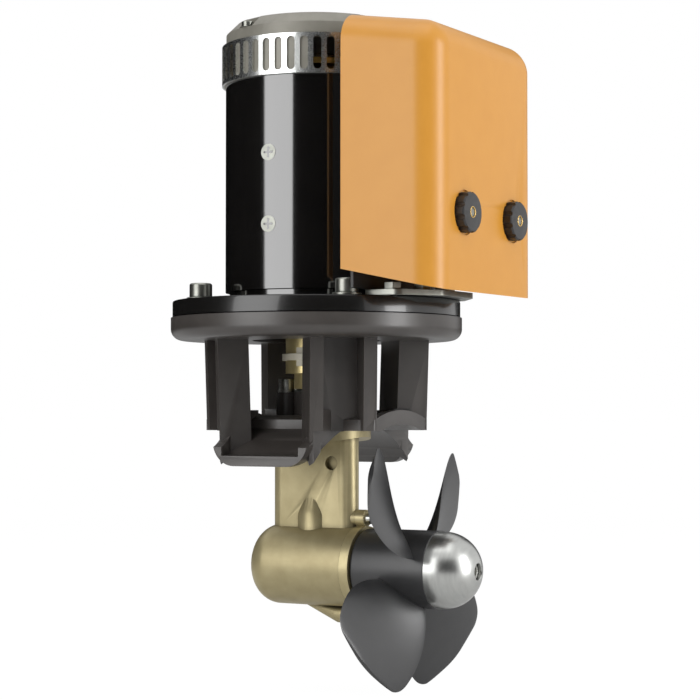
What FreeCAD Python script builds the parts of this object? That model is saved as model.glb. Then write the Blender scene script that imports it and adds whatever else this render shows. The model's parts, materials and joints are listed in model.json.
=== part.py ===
"""Bow thruster with its motor, tunnel support, gear leg, propeller and electrical box.

A parametric FreeCAD document in millimetres. The origin is where the vertical motor axis crosses
the propeller axis. +X runs along the propeller shaft towards the propeller's nose, and +Z is up.
"""
import FreeCAD, Part
import math
import operator
import os
import Sketcher
from FreeCAD import Placement, Rotation, Vector

# Driving sizes: (alias, value, what it is). Lengths are in mm and angles in degrees.
DRIVING_SIZES = [
    # Support housing
    ("saddle_radius", 100, "outside radius of the tunnel that the saddle sits on"),
    ("arch_wall", 10, "wall of the saddle's two end arches"),
    ("arch_rim", 6, "length of each end arch's raised rim"),
    ("floor_wall", 6, "wall of the saddle floor between the rims"),
    ("ring_radius", 103.8, "radius of the support's round flange"),
    ("ring_top", 175.4, "height of the flange's upper face"),
    ("ring_thick", 15.9, "thickness of the flange"),
    ("ring_round", 8, "radius of the flange's lower edge"),
    ("ring_bore", 46, "bore radius of the flange"),
    ("pillar_reach", 77, "distance of a pillar's mouth from the motor axis"),
    ("pillar_width", 47.2, "width of a pillar across its two ribs"),
    ("pillar_draft", 3, "how much closer the pillars are at the wing's foot"),
    ("rib_thick", 9.5, "thickness of a pillar's rib"),
    ("channel_depth", 17, "depth of the channel between a pillar's ribs"),
    ("web_thick", 5, "thickness of the web at the back of the channel"),
    ("wing_half", 38, "half length of a wing along the propeller axis"),
    ("wing_depth", 76, "distance of a wing's outer face from the motor axis"),
    ("wing_foot", 71.5, "height of a wing's lower edge"),
    ("wing_round", 17, "corner radius of a wing"),
    ("wing_skin", 4, "wall of a wing inside its scoop"),
    ("wing_lip", 7, "height of the lip under the scoop"),
    ("wing_rib", 7, "thickness of the rib at each side of the scoop"),
    ("wing_bend", 27, "radius of the curve from a wing's lip up to its pillars"),
    ("scoop_round", 10, "radius at the foot of the scoop"),
    ("rib_foot", 95.7, "height of the flat foot of the outer ribs"),
    ("boss_radius", 16, "radius of the centre boss"),
    ("boss_top", 122.6, "height of the centre boss and the screw bosses"),
    ("screw_boss_radius", 8, "radius of a leg screw's boss"),
    ("bearing_seat_depth", 10, "depth of the bearing seat in the centre boss"),
    # Leg and its screws
    ("leg_screw_reach", 24.4, "distance of a leg screw from the motor axis"),
    ("leg_screw_radius", 4, "M8 leg screw"),
    ("leg_screw_head_radius", 6.5, "head of a leg screw"),
    ("leg_screw_head", 8, "height of a leg screw's head"),
    ("leg_screw_depth", 30, "length of a leg screw in the leg"),
    ("hole_gap", 0.5, "radial room of a clearance hole"),
    ("gasket_thick", 3, "thickness of the gasket between leg and saddle"),
    ("flange_half_length", 40, "half length of the leg's saddle flange"),
    ("flange_half_width", 25, "half width of the leg's saddle flange"),
    ("flange_corner", 23, "corner radius of the leg's saddle flange"),
    ("flange_thick", 6, "thickness of the leg's saddle flange"),
    ("strut_half", 9, "half thickness of the strut and radius of its ends"),
    ("leg_radius", 28.5, "radius of the leg's gear body"),
    ("leg_rear", 44.7, "distance of the rounded rear end from the motor axis"),
    ("leg_rear_round", 17, "rounding of the rear end"),
    ("leg_front", 34.4, "distance of the joint face of the end cap"),
    ("leg_bulge_radius", 13.5, "radius of the bearing bulge over the gear body"),
    ("leg_bulge_top", 36, "height of the bearing bulge"),
    ("gear_bore", 23, "bore radius of the gear space"),
    ("gear_space_rear", 21, "distance of the gear space's rear wall"),
    ("lug_height", 34, "distance of an end cap lug from the propeller axis"),
    ("lug_radius", 6, "radius of an end cap lug"),
    ("lug_length", 16, "length of a lug on the leg"),
    ("fairing_length", 26, "length of the tapered fairing behind a lug"),
    ("drain_radius", 5, "radius of the blind hole in the strut"),
    ("drain_depth", 4, "depth of the blind hole in the strut"),
    ("drain_x", 17.5, "place of the blind hole along the strut"),
    ("drain_height", 72.6, "height of the blind hole"),
    ("end_cap_thick", 7.2, "thickness of the leg's end cap"),
    ("end_cap_spigot", 12, "length of the end cap's spigot"),
    ("lug_screw_radius", 2.5, "M5 end cap screw"),
    ("seal_radius", 11, "outer radius of the propeller shaft seal"),
    # Gears and shafts in the leg
    ("tooth_module", 1.6667, "module at the large end of the bevel teeth"),
    ("pinion_teeth", 12, "teeth of the pinion"),
    ("crown_teeth", 24, "teeth of the crown gear"),
    ("tooth_face", 7, "face width of the bevel teeth"),
    ("tooth_backlash", 0.3, "gap on each side of a tooth at the pitch line"),
    ("running_gap", 0.03, "radial running clearance of a shaft"),
    ("pinion_shaft_radius", 5, "radius of the vertical pinion shaft"),
    ("bush_wall", 1.5, "wall of a pinion bush"),
    ("bush_length", 16, "length of a pinion bush"),
    ("shaft_radius", 7, "radius of the propeller shaft"),
    ("front_bearing_radius", 16, "outer radius of the front bearing"),
    ("front_bearing_width", 11, "width of the front bearing"),
    ("rear_bearing_radius", 12, "outer radius of the rear bearing"),
    ("rear_bearing_width", 9, "width of the rear bearing"),
    # Propeller and nose
    ("hub_gap", 0.6, "gap between end cap and propeller hub"),
    ("hub_radius", 27, "radius of the propeller hub"),
    ("hub_length", 57.2, "length of the propeller hub"),
    ("hub_round", 2, "edge rounding of the hub"),
    ("blade_tip", 91.5, "radius of the propeller"),
    ("blade_station", 36, "distance of the blades' middle from the hub's rear face"),
    ("blade_pitch", 162, "pitch of the blades"),
    ("blade_phase", 41.5, "angle of the first blade from straight up"),
    ("blade_root_half", 13, "half width of a blade at the hub"),
    ("blade_half_width", 36, "half width of a blade at its widest"),
    ("blade_wide_height", 69, "height of a blade's widest part over the propeller axis"),
    ("blade_root_thick", 7.5, "thickness of a blade at the hub"),
    ("blade_tip_thick", 3.5, "thickness of a blade near its tip"),
    ("blade_count", 4, "number of blades"),
    ("drive_pin_radius", 2.5, "radius of the drive pin"),
    ("drive_pin_half", 19, "half length of the drive pin"),
    ("drive_pin_station", 8, "distance of the drive pin from the hub's rear face"),
    ("nose_radius", 26.5, "radius of the round nose"),
    ("nose_collar", 3.2, "straight length at the nose's base"),
    ("nose_bolt_radius", 3, "M6 nose bolt"),
    ("nose_bolt_head", 5, "head radius and height of the nose bolt"),
    ("nose_bolt_well", 8, "depth of the nose bolt's well from the tip"),
    # Coupling
    ("coupling_radius", 22, "radius of the coupling halves"),
    ("coupling_floor", 136, "height of the lower coupling half's hub"),
    ("coupling_hub", 5, "height of a coupling hub"),
    ("coupling_jaw", 4.2, "height of the coupling jaws"),
    ("coupling_slot", 7, "width of the slots between the jaws"),
    ("spider_radius", 24.5, "radius of the spider's disc"),
    ("spider_disc", 4.8, "thickness of the spider's disc"),
    ("coupling_neck", 16, "radius of the lower coupling half's neck"),
    ("coupling_neck_floor", 125, "height of the neck's lower face"),
    ("boss_ring_thick", 1.8, "thickness of the ring on the centre boss"),
    # Motor plate and bolts
    ("plate_radius", 102.6, "radius of the motor plate"),
    ("plate_thick", 11.8, "thickness of the motor plate"),
    ("plate_bore", 30, "bore radius of the motor plate"),
    ("bolt_circle", 84, "radius of the plate bolts' circle"),
    ("bolt_radius", 5, "M10 plate bolt"),
    ("bolt_head_radius", 8, "head radius of a plate bolt"),
    ("bolt_head", 10, "head height of a plate bolt"),
    ("bolt_depth", 12, "length of a plate bolt in the flange"),
    ("washer_radius", 10, "radius of a plate washer"),
    ("washer_thick", 2, "thickness of the washers"),
    ("spring_washer_thick", 1.8, "thickness of the spring washers"),
    # Motor
    ("bracket_radius", 62, "radius of the drive end bracket"),
    ("bracket_thick", 6.3, "thickness of the drive end bracket's flange"),
    ("motor_radius", 65, "radius of the motor's yoke"),
    ("yoke_wall", 6, "wall of the yoke"),
    ("yoke_length", 147.5, "length of the yoke"),
    ("band_radius", 67.7, "radius of the vent band"),
    ("band_thick", 1.6, "thickness of the vent band"),
    ("band_height", 27.7, "height of the vent band"),
    ("band_slots", 46, "slots round the vent band"),
    ("band_slot_radius", 2.8, "half width of a vent slot"),
    ("band_slot_height", 23, "height of a vent slot"),
    ("cap_radius", 64.7, "radius of the end cap above the band"),
    ("cap_side", 8.3, "height of the end cap's side above the band"),
    ("cap_slope", 7.5, "height of the end cap's sloping shoulder"),
    ("cap_top_radius", 57, "radius of the end cap's flat top"),
    ("cap_roof", 10.5, "thickness of the end cap's roof"),
    ("cap_bolt_circle", 62, "radius of the end cap bolts' circle"),
    ("cap_bolt_angle", 70, "angle of an end cap bolt from the +X pole"),
    ("motor_shaft_radius", 8.5, "radius of the motor shaft"),
    ("motor_bearing_radius", 20, "outer radius of the motor's bearings"),
    ("motor_bearing_width", 12, "width of the motor's bearings"),
    ("armature_radius", 40, "radius of the armature core"),
    ("armature_length", 76, "length of the armature core"),
    ("armature_slots", 20, "slots of the armature core"),
    ("air_gap", 1, "gap between armature and pole shoes"),
    ("pole_thick", 6, "thickness of a pole shoe's face"),
    ("pole_core_half", 15, "half width of a pole core"),
    ("shoe_gap", 0.2, "gap between a pole shoe and the yoke"),
    ("coil_gap", 0.3, "gap round a field coil"),
    ("pole_pair_offset", 24.7, "distance of a pole screw from the pole's middle"),
    ("pole_middle", 262.9, "height of the poles' middle"),
    ("pole_screw_radius", 3, "M6 pole screw"),
    ("pole_screw_head", 6, "head radius of a pole screw"),
    ("coil_thick", 5.5, "thickness of a field coil"),
    ("commutator_radius", 22, "radius of the commutator"),
    ("commutator_length", 28, "length of the commutator"),
    ("commutator_bars", 20, "bars of the commutator"),
    ("brush_gap", 0.3, "gap between brush and commutator"),
    ("brush_width", 10, "width of a brush"),
    ("brush_height", 14, "height of a brush"),
    ("brush_length", 23, "length of a brush"),
    ("holder_wall", 2, "wall of a brush holder"),
    ("spring_radius", 5, "radius of a rolled brush spring"),
    # Electrical box
    ("cover_back", 65.3, "distance of the cover's open back from the motor axis"),
    ("cover_front", 137, "distance of the cover's front face"),
    ("cover_half", 78, "half width of the cover"),
    ("cover_foot_front", 189, "height of the cover's lower edge in front"),
    ("cover_foot_back", 204, "height of the cover's lower edge at the back"),
    ("cover_top_front", 366, "height of the cover's top in front"),
    ("cover_top_back", 377, "height of the cover's top at the back"),
    ("cover_corner", 20, "radius of the cover's upright corners"),
    ("cover_top_round", 20, "radius of the cover's top edges"),
    ("cover_wall", 3, "wall of the cover"),
    ("knob_reach", 36.6, "distance of a knob from the middle of the cover"),
    ("knob_height", 241.5, "height of the knobs"),
    ("knob_radius", 13.7, "radius of a knob"),
    ("knob_thick", 7.4, "thickness of a knob"),
    ("knob_lobes", 10, "scallops round a knob"),
    ("knob_recess", 1.5, "depth of the recess round a knob"),
    ("knob_gap", 0.3, "gap between knob and cover"),
    ("insert_radius", 4, "radius of a knob's brass insert"),
    ("stud_radius", 3, "M6 cover stud"),
    ("panel_gap", 3.2, "gap between motor and back panel"),
    ("panel_thick", 2.5, "thickness of the back panel"),
    ("panel_half", 70, "half width of the back panel"),
    ("panel_top", 355, "height of the back panel's top"),
    ("tray_rise", 0.3, "gap between motor plate and tray"),
    ("tray_thick", 4, "thickness of the tray"),
    ("tray_front", 114, "distance of the tray's front edge"),
    ("tray_half", 50, "half width of the tray at the back"),
    ("tray_nose_half", 22, "half width of the tray at its front"),
    ("tray_corner", 9, "corner radius of the tray"),
    ("nut_radius", 6.5, "corner radius of the tray's nuts"),
    ("nut_height", 5, "height of the tray's nuts"),
    ("contactor_floor", 262, "height of the contactor's lower face"),
    ("contactor_height", 52, "height of the contactor"),
    ("contactor_half", 46, "half width of the contactor"),
    ("contactor_depth", 41, "depth of the contactor"),
    ("block_floor", 206, "height of the terminal block's lower face"),
    ("block_height", 24, "height of the terminal block"),
    ("block_half", 33, "half width of the terminal block"),
    ("block_depth", 15, "depth of the terminal block"),
    ("battery_stud_radius", 4, "M8 battery stud"),
    ("terminal_bush", 1.6, "wall of the insulating bush round a motor terminal"),
    ("battery_stud_reach", 17, "distance of a battery stud from the middle"),
    ("battery_stud_length", 18, "free length of a battery stud"),
    ("bar_thick", 2, "thickness of the copper bars"),
    ("bar_half", 6, "half width of the copper bars"),
    ("motor_terminal_reach", 22, "distance of a motor terminal from the middle"),
    ("motor_terminal_height", 325, "height of the motor terminals"),
]

OPERATIONS = {"+": operator.add, "-": operator.sub, "*": operator.mul, "/": operator.truediv}


def text_of(value):
    """The expression text of a number or a Size."""
    return value.text if isinstance(value, Size) else f"{float(value):.9g}"


def joined(left, sign, right):
    """Two numbers joined by an operation, as a Size."""
    value = OPERATIONS[sign](float(left), float(right))
    return Size(value, f"({text_of(left)} {sign} {text_of(right)})")


class Size(float):
    """A number together with the sheet expression that it comes from."""

    def __new__(cls, value, text):
        size = float.__new__(cls, value)
        size.text = text
        return size

    def __add__(self, other):
        return joined(self, "+", other)

    def __radd__(self, other):
        return joined(other, "+", self)

    def __sub__(self, other):
        return joined(self, "-", other)

    def __rsub__(self, other):
        return joined(other, "-", self)

    def __mul__(self, other):
        return joined(self, "*", other)

    def __rmul__(self, other):
        return joined(other, "*", self)

    def __truediv__(self, other):
        return joined(self, "/", other)

    def __rtruediv__(self, other):
        return joined(other, "/", self)

    def __neg__(self):
        return joined(0, "-", self)


def root(value):
    """Square root of a Size."""
    return Size(math.sqrt(value), f"sqrt({text_of(value)})")


def cube_root(value):
    """Cube root of a Size."""
    return Size(float(value) ** (1 / 3), f"cbrt({text_of(value)})")


def arctangent(value):
    """Angle of a slope in degrees, as a plain number."""
    return Size(math.degrees(math.atan(value)), f"(atan({text_of(value)}) / 1 deg)")


def tangent(value):
    """Tangent of a Size in degrees."""
    return Size(math.tan(math.radians(value)), f"tan({text_of(value)})")


def chord_height(radius, half_chord):
    """Height of a circle's point at a sideways distance from its top."""
    return root(radius * radius - half_chord * half_chord)


class Sizes:
    """The driving sizes by name."""


doc = FreeCAD.newDocument("BowThruster")
sheet = doc.addObject("Spreadsheet::Sheet", "Sheet")
for row, (alias, number, meaning) in enumerate(DRIVING_SIZES, start=1):
    sheet.set(f"A{row}", str(number))
    sheet.setAlias(f"A{row}", alias)
    sheet.set(f"B{row}", meaning)
doc.recompute()
s = Sizes()
for alias, number, meaning in DRIVING_SIZES:
    setattr(s, alias, Size(float(getattr(sheet, alias)), f"Sheet.{alias}"))

pieces = []
QUARTER_TURN = 90
FULL_TURN = 360
TURNS = {
    "Z": Rotation(),
    "X": Rotation(Vector(0, 1, 0), QUARTER_TURN),
    "Y": Rotation(Vector(1, 0, 0), -QUARTER_TURN),
}


# ---------------------------------------------------------------- modelling helpers

def bind(item, prop, value):
    """Set a property, tied to the sheet where its value comes from there."""
    if isinstance(value, Size):
        item.setExpression(prop, value.text)
    else:
        setattr(item, prop, value)


def place(item, x=0, y=0, z=0, turn=Rotation(), prop="Placement"):
    """Put an item at a point that may come from the sheet."""
    setattr(item, prop, Placement(Vector(x, y, z), turn))
    for axis, value in (("x", x), ("y", y), ("z", z)):
        if isinstance(value, Size):
            item.setExpression(f"{prop}.Base.{axis}", value.text)


def new_body(label, keep=True):
    """A new body, kept as one of the part's pieces unless it only serves another."""
    item = doc.addObject("PartDesign::Body", label)
    item.Label = label
    if keep:
        pieces.append(item)
    return item


def origin_item(owner, role):
    """A plane or axis of a body's own origin."""
    return [item for item in owner.Origin.OriginFeatures if item.Role == role][0]


def arc_to(x, y, center_x, center_y):
    """A profile's next corner, reached along the shorter arc round a centre."""
    return (x, y, center_x, center_y)


def hold(sketch, geometry, position, x, y):
    """Fix one end of a sketch's line or arc at a point."""
    if float(x) == 0 and float(y) == 0:
        sketch.addConstraint(Sketcher.Constraint("Coincident", geometry, position, -1, 1))
        return
    for kind, value, axis in (("DistanceX", x, -2), ("DistanceY", y, -1)):
        if float(value) == 0:
            sketch.addConstraint(Sketcher.Constraint("PointOnObject", geometry, position, axis))
            continue
        limit = Sketcher.Constraint(kind, -1, 1, geometry, position, float(value))
        number = sketch.addConstraint(limit)
        if isinstance(value, Size):
            sketch.setExpression(f"Constraints[{number}]", value.text)


def add_loop(sketch, points):
    """Draw one closed profile of lines and arcs, each corner held by its coordinates."""
    ends = []
    for index, point in enumerate(points):
        start = points[index - 1]
        before = Vector(start[0], start[1], 0)
        after = Vector(point[0], point[1], 0)
        if len(point) == 2:
            number = sketch.addGeometry(Part.LineSegment(before, after), False)
            ends.append((number, 1, 2))
            continue
        center = Vector(point[2], point[3], 0)
        first = math.atan2(before.y - center.y, before.x - center.x)
        last = math.atan2(after.y - center.y, after.x - center.x)
        circle = Part.Circle(center, Vector(0, 0, 1), after.distanceToPoint(center))
        forward = (last - first) % (2 * math.pi) < math.pi
        span = (first, last) if forward else (last, first)
        number = sketch.addGeometry(Part.ArcOfCircle(circle, *span), False)
        ends.append((number, 1, 2) if forward else (number, 2, 1))
        reach_x = point[0] - point[2]
        reach_y = point[1] - point[3]
        radius = root(reach_x * reach_x + reach_y * reach_y)
        limit = sketch.addConstraint(Sketcher.Constraint("Radius", number, float(radius)))
        if "Sheet." in radius.text:
            sketch.setExpression(f"Constraints[{limit}]", radius.text)
    for index, (number, start_end, finish_end) in enumerate(ends):
        following, following_start, unused_end = ends[(index + 1) % len(ends)]
        joint = Sketcher.Constraint("Coincident", number, finish_end, following, following_start)
        sketch.addConstraint(joint)
        hold(sketch, number, finish_end, points[index][0], points[index][1])


def add_circle(sketch, x, y, radius):
    """Draw one circle, its centre and radius held."""
    number = sketch.addGeometry(Part.Circle(Vector(x, y, 0), Vector(0, 0, 1), float(radius)), False)
    hold(sketch, number, 3, x, y)
    limit = sketch.addConstraint(Sketcher.Constraint("Radius", number, float(radius)))
    if isinstance(radius, Size):
        sketch.setExpression(f"Constraints[{limit}]", radius.text)


def new_sketch(owner, plane, loops=(), circles=(), offset=0, turn=0):
    """A sketch on one of the body's own planes, moved along the plane's normal and turned."""
    sketch = owner.newObject("Sketcher::SketchObject", f"{owner.Label}_sketch")
    sketch.AttachmentSupport = (origin_item(owner, plane), [""])
    sketch.MapMode = "FlatFace"
    turned_by = Rotation(Vector(0, 0, 1), float(turn))
    place(sketch, z=offset, turn=turned_by, prop="AttachmentOffset")
    if isinstance(turn, Size):
        sketch.setExpression("AttachmentOffset.Rotation.Angle", turn.text)
    for points in loops:
        add_loop(sketch, points)
    for x, y, radius in circles:
        add_circle(sketch, x, y, radius)
    return sketch


def turned(owner, points, axis="Z", cut=False, at=None):
    """Revolve a profile of (radius, height), or (x, radius) for axis X, as a lathe would.

    With a value for at, the profile turns about a line at that distance, or for axis X about
    a line at that height, instead.
    """
    sketch = new_sketch(owner, "XZ_Plane", [points])
    reference = "V_Axis" if axis == "Z" else "H_Axis"
    if at is not None:
        upright_line = axis == "Z"
        places = [float(point[1 if upright_line else 0]) for point in points]
        low = min(places)
        start = (at, low) if upright_line else (low, at)
        end = (at, max(places)) if upright_line else (max(places), at)
        line = Part.LineSegment(Vector(*start, 0), Vector(*end, 0))
        number = sketch.addGeometry(line, True)
        level = "Vertical" if upright_line else "Horizontal"
        sketch.addConstraint(Sketcher.Constraint(level, number))
        hold(sketch, number, 1, *start)
        reference = "Axis0"
    item = owner.newObject("PartDesign::Groove" if cut else "PartDesign::Revolution", "Turned")
    item.Profile = sketch
    item.ReferenceAxis = (sketch, [reference])
    item.Angle = FULL_TURN
    return item


def padded(owner, sketch, length, symmetric=False, cut=False, reversed_way=False):
    """Pad a sketch, or pocket it, along its normal."""
    item = owner.newObject("PartDesign::Pocket" if cut else "PartDesign::Pad", "Padded")
    item.Profile = sketch
    bind(item, "Length", length)
    if symmetric:
        item.SideType = "Symmetric"
    item.Reversed = reversed_way
    return item


def drum(owner, radius, low, high, axis="Z", at=(0, 0), cut=False):
    """A cylinder along an axis, from low to high, with its centre line at a point."""
    kind = "SubtractiveCylinder" if cut else "AdditiveCylinder"
    item = owner.newObject(f"PartDesign::{kind}", "Drum")
    bind(item, "Radius", radius)
    bind(item, "Height", high - low)
    spot = {"Z": (at[0], at[1], low), "X": (low, at[0], at[1]), "Y": (at[0], low, at[1])}[axis]
    place(item, *spot, turn=TURNS[axis])
    return item


def block(owner, low, high, cut=False, turn=0):
    """A box between two corners, turned about the motor axis by an angle in degrees."""
    kind = "SubtractiveBox" if cut else "AdditiveBox"
    item = owner.newObject(f"PartDesign::{kind}", "Block")
    for prop, start, end in zip(("Length", "Width", "Height"), low, high):
        bind(item, prop, end - start)
    if not turn:
        place(item, *low)
        return item
    cosine = math.cos(math.radians(turn))
    sine = math.sin(math.radians(turn))
    corner_x = low[0] * cosine - low[1] * sine
    corner_y = low[0] * sine + low[1] * cosine
    place(item, corner_x, corner_y, low[2], turn=Rotation(Vector(0, 0, 1), turn))
    return item


def polar(owner, original, count, axis="Z"):
    """Repeat the body's latest feature round one of its axes."""
    item = owner.newObject("PartDesign::PolarPattern", "Polar")
    item.Originals = [original]
    item.Axis = (origin_item(owner, f"{axis}_Axis"), [""])
    item.Angle = FULL_TURN
    bind(item, "Occurrences", count)
    owner.Tip = item
    return item


def rounded(owner, base, radius, wanted, kind="Fillet"):
    """Round or chamfer the edges of a feature that pass a test."""
    doc.recompute()
    edges = [f"Edge{n}" for n, edge in enumerate(base.Shape.Edges, start=1) if wanted(edge)]
    item = owner.newObject(f"PartDesign::{kind}", kind)
    item.Base = (base, edges)
    bind(item, "Radius" if kind == "Fillet" else "Size", radius)
    return item


def near(value, target, slack=0.05):
    """Whether two lengths agree."""
    return abs(value - target) < slack


def upright(edge):
    """Whether an edge is a straight line along Z."""
    box = edge.BoundBox
    return box.XLength < 0.01 and box.YLength < 0.01


def ring_piece(label, bore, radius, low, high, axis="Z"):
    """A plain ring, such as a bearing, a bush or a seal."""
    owner = new_body(label)
    if axis == "Z":
        turned(owner, [(bore, low), (radius, low), (radius, high), (bore, high)])
    else:
        turned(owner, [(low, bore), (high, bore), (high, radius), (low, radius)], axis="X")
    return owner


def feature(label, shape, turn=Rotation()):
    """A piece whose shape is worked out directly, then turned to its axis."""
    item = doc.addObject("Part::Feature", label)
    item.Label = label
    item.Shape = shape
    item.Placement = Placement(Vector(), turn)
    pieces.append(item)
    return item


# ---------------------------------------------------------------- shared places

ring_floor = s.ring_top - s.ring_thick
flange_top = s.saddle_radius - s.gasket_thick
flange_floor = flange_top - s.flange_thick
plate_top = s.ring_top + s.plate_thick
bracket_top = plate_top + s.bracket_thick
yoke_top = bracket_top + s.yoke_length
band_top = yoke_top + s.band_height
cap_edge = band_top + s.cap_side
cap_top = cap_edge + s.cap_slope
end_face = s.leg_front + s.end_cap_thick
hub_rear = end_face + s.hub_gap
hub_front = hub_rear + s.hub_length
blade_middle = hub_rear + s.blade_station
bush_radius = s.pinion_shaft_radius + s.bush_wall
leg_screw_hole = s.leg_screw_radius + s.hole_gap
leg_screw_end = flange_top - s.leg_screw_depth
DIAGONAL = 45
SOCKET_SHARE = 0.9
HEAD_SHARE = 1.6
BOLT_HEAD_SHARE = 1.7
NECK_SHARE = 0.85
POLE_SPREAD = 1.6
terminal_bush_radius = s.battery_stud_radius + s.terminal_bush


# ---------------------------------------------------------------- support housing

def pillar_profile(reach):
    """A pillar's section across the diagonal: two ribs and a web, open outwards."""
    half = s.pillar_width / 2
    inner_half = half - s.rib_thick
    web_face = reach - s.channel_depth
    back = web_face - s.web_thick
    return [
        (reach, -half), (reach, -inner_half), (web_face, -inner_half), (web_face, inner_half),
        (reach, inner_half), (reach, half), (back, half), (back, -half),
    ]


def scoop_profile(side):
    """The scoop between a wing's ribs: round the saddle skin, then out over the lip."""
    skin = s.saddle_radius + s.wing_skin
    lip_top = s.wing_foot + s.wing_lip
    turn_height = lip_top + s.scoop_round
    turn_reach = root((skin + s.scoop_round) * (skin + s.scoop_round) - turn_height * turn_height)
    share = skin / (skin + s.scoop_round)
    clear = s.wing_depth + s.wing_lip
    high = skin + s.scoop_round
    return [
        (0, high), (side * clear, high), (side * clear, lip_top),
        (side * turn_reach, lip_top),
        arc_to(side * turn_reach * share, turn_height * share, side * turn_reach, turn_height),
        arc_to(0, skin, 0, 0),
    ]


def make_support():
    """Flange, four pillars, and the saddle with its wings, arches and bosses, cast in one."""
    owner = new_body("support_housing")
    deck = s.saddle_radius + s.arch_wall
    half = s.wing_half
    bend_center = s.wing_depth + s.wing_lip + 2
    bend_top = bend_center - s.wing_bend
    bend_foot = deck - chord_height(s.wing_bend, bend_center - s.wing_depth)
    outline = [
        (-s.wing_depth, s.wing_foot), (s.wing_depth, s.wing_foot), (s.wing_depth, bend_foot),
        arc_to(bend_top, deck, bend_center, deck), (-bend_top, deck),
        arc_to(-s.wing_depth, bend_foot, -bend_center, deck),
    ]
    wings = padded(owner, new_sketch(owner, "YZ_Plane", [outline]), half * 2, True)
    foot = float(s.wing_foot)
    wings = rounded(owner, wings, s.wing_round,
                    lambda edge: near(edge.BoundBox.ZMax, foot) and edge.BoundBox.YLength > 1
                    and edge.BoundBox.XLength < 1)
    scoops = new_sketch(owner, "YZ_Plane", [scoop_profile(1), scoop_profile(-1)])
    padded(owner, scoops, (half - s.wing_rib) * 2, True, cut=True)

    low = new_sketch(owner, "XY_Plane", [pillar_profile(s.pillar_reach - s.pillar_draft)],
                     offset=s.wing_foot, turn=DIAGONAL)
    high = new_sketch(owner, "XY_Plane", [pillar_profile(s.pillar_reach)],
                      offset=ring_floor + s.ring_round, turn=DIAGONAL)
    pillar = owner.newObject("PartDesign::AdditiveLoft", "Pillar")
    pillar.Profile = low
    pillar.Sections = [high]
    pillar.Ruled = True
    polar(owner, pillar, 4)

    side = (s.pillar_reach - s.pillar_width / 2) / math.sqrt(2)
    reach = (s.pillar_reach - s.pillar_draft + s.pillar_width / 2) / math.sqrt(2)
    shoulder = chord_height(deck, side)
    arch = [(-side, s.rib_foot), (side, s.rib_foot), (side, shoulder),
            arc_to(-side, shoulder, 0, 0)]
    padded(owner, new_sketch(owner, "YZ_Plane", [arch]), reach * 2, True)
    floor = s.saddle_radius + s.floor_wall
    inner = side - s.rib_thick
    floor_edge = chord_height(floor, inner)
    hollow = [arc_to(-inner, floor_edge, 0, 0), (-inner, deck + 1), (inner, deck + 1),
              (inner, floor_edge)]
    padded(owner, new_sketch(owner, "YZ_Plane", [hollow]), (reach - s.arch_rim) * 2, True, cut=True)

    drum(owner, s.boss_radius, s.saddle_radius - 1, s.boss_top)
    for way in (1, -1):
        drum(owner, s.screw_boss_radius, s.saddle_radius - 1, s.boss_top,
             at=(s.leg_screw_reach * way, 0))
    edge = s.ring_radius - s.ring_round
    turned(owner, [(s.ring_bore, ring_floor), (edge, ring_floor),
                   arc_to(s.ring_radius, ring_floor + s.ring_round, edge, ring_floor + s.ring_round),
                   (s.ring_radius, s.ring_top), (s.ring_bore, s.ring_top)])

    drum(owner, s.saddle_radius, -s.ring_radius, s.ring_radius, axis="X", cut=True)
    for way in (1, -1):
        start, end = (half, s.ring_radius) if way > 0 else (-s.ring_radius, -half)
        block(owner, (start, -s.ring_radius, 0), (end, s.ring_radius, s.rib_foot), cut=True)
        drum(owner, leg_screw_hole, s.wing_foot, s.boss_top + 1,
             at=(s.leg_screw_reach * way, 0), cut=True)
    drum(owner, bush_radius, s.wing_foot, s.boss_top + 1, cut=True)
    seat = s.boss_top - s.bearing_seat_depth
    drum(owner, s.rear_bearing_radius, seat, s.boss_top + 1, cut=True)
    spot = s.bolt_circle / math.sqrt(2)
    hole = drum(owner, s.bolt_radius, s.ring_top - s.bolt_depth, s.ring_top + 1,
                at=(spot, spot), cut=True)
    polar(owner, hole, 4)
    return owner


make_support()


# ---------------------------------------------------------------- leg

def rounded_rectangle(half_x, half_y, corner):
    """A rectangle about the origin with four round corners."""
    flat_x = half_x - corner
    flat_y = half_y - corner
    return [
        (flat_x, -half_y), arc_to(half_x, -flat_y, flat_x, -flat_y),
        (half_x, flat_y), arc_to(flat_x, half_y, flat_x, flat_y),
        (-flat_x, half_y), arc_to(-half_x, flat_y, -flat_x, flat_y),
        (-half_x, -flat_y), arc_to(-flat_x, -half_y, -flat_x, -flat_y),
    ]


def saddle_sheet(owner, inner, outer):
    """The flange's outline cut from a wall that is curved about the propeller axis."""
    outline = rounded_rectangle(s.flange_half_length, s.flange_half_width, s.flange_corner)
    low = chord_height(inner, s.flange_half_width) - 1
    padded(owner, new_sketch(owner, "XY_Plane", [outline], offset=low), outer - low + 1)
    drum(owner, inner, -s.flange_half_length - 1, s.flange_half_length + 1, axis="X", cut=True)
    end = s.flange_half_length + 1
    beyond = outer * 1.1
    turned(owner, [(-end, outer), (end, outer), (end, beyond), (-end, beyond)], axis="X",
           cut=True)


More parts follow.
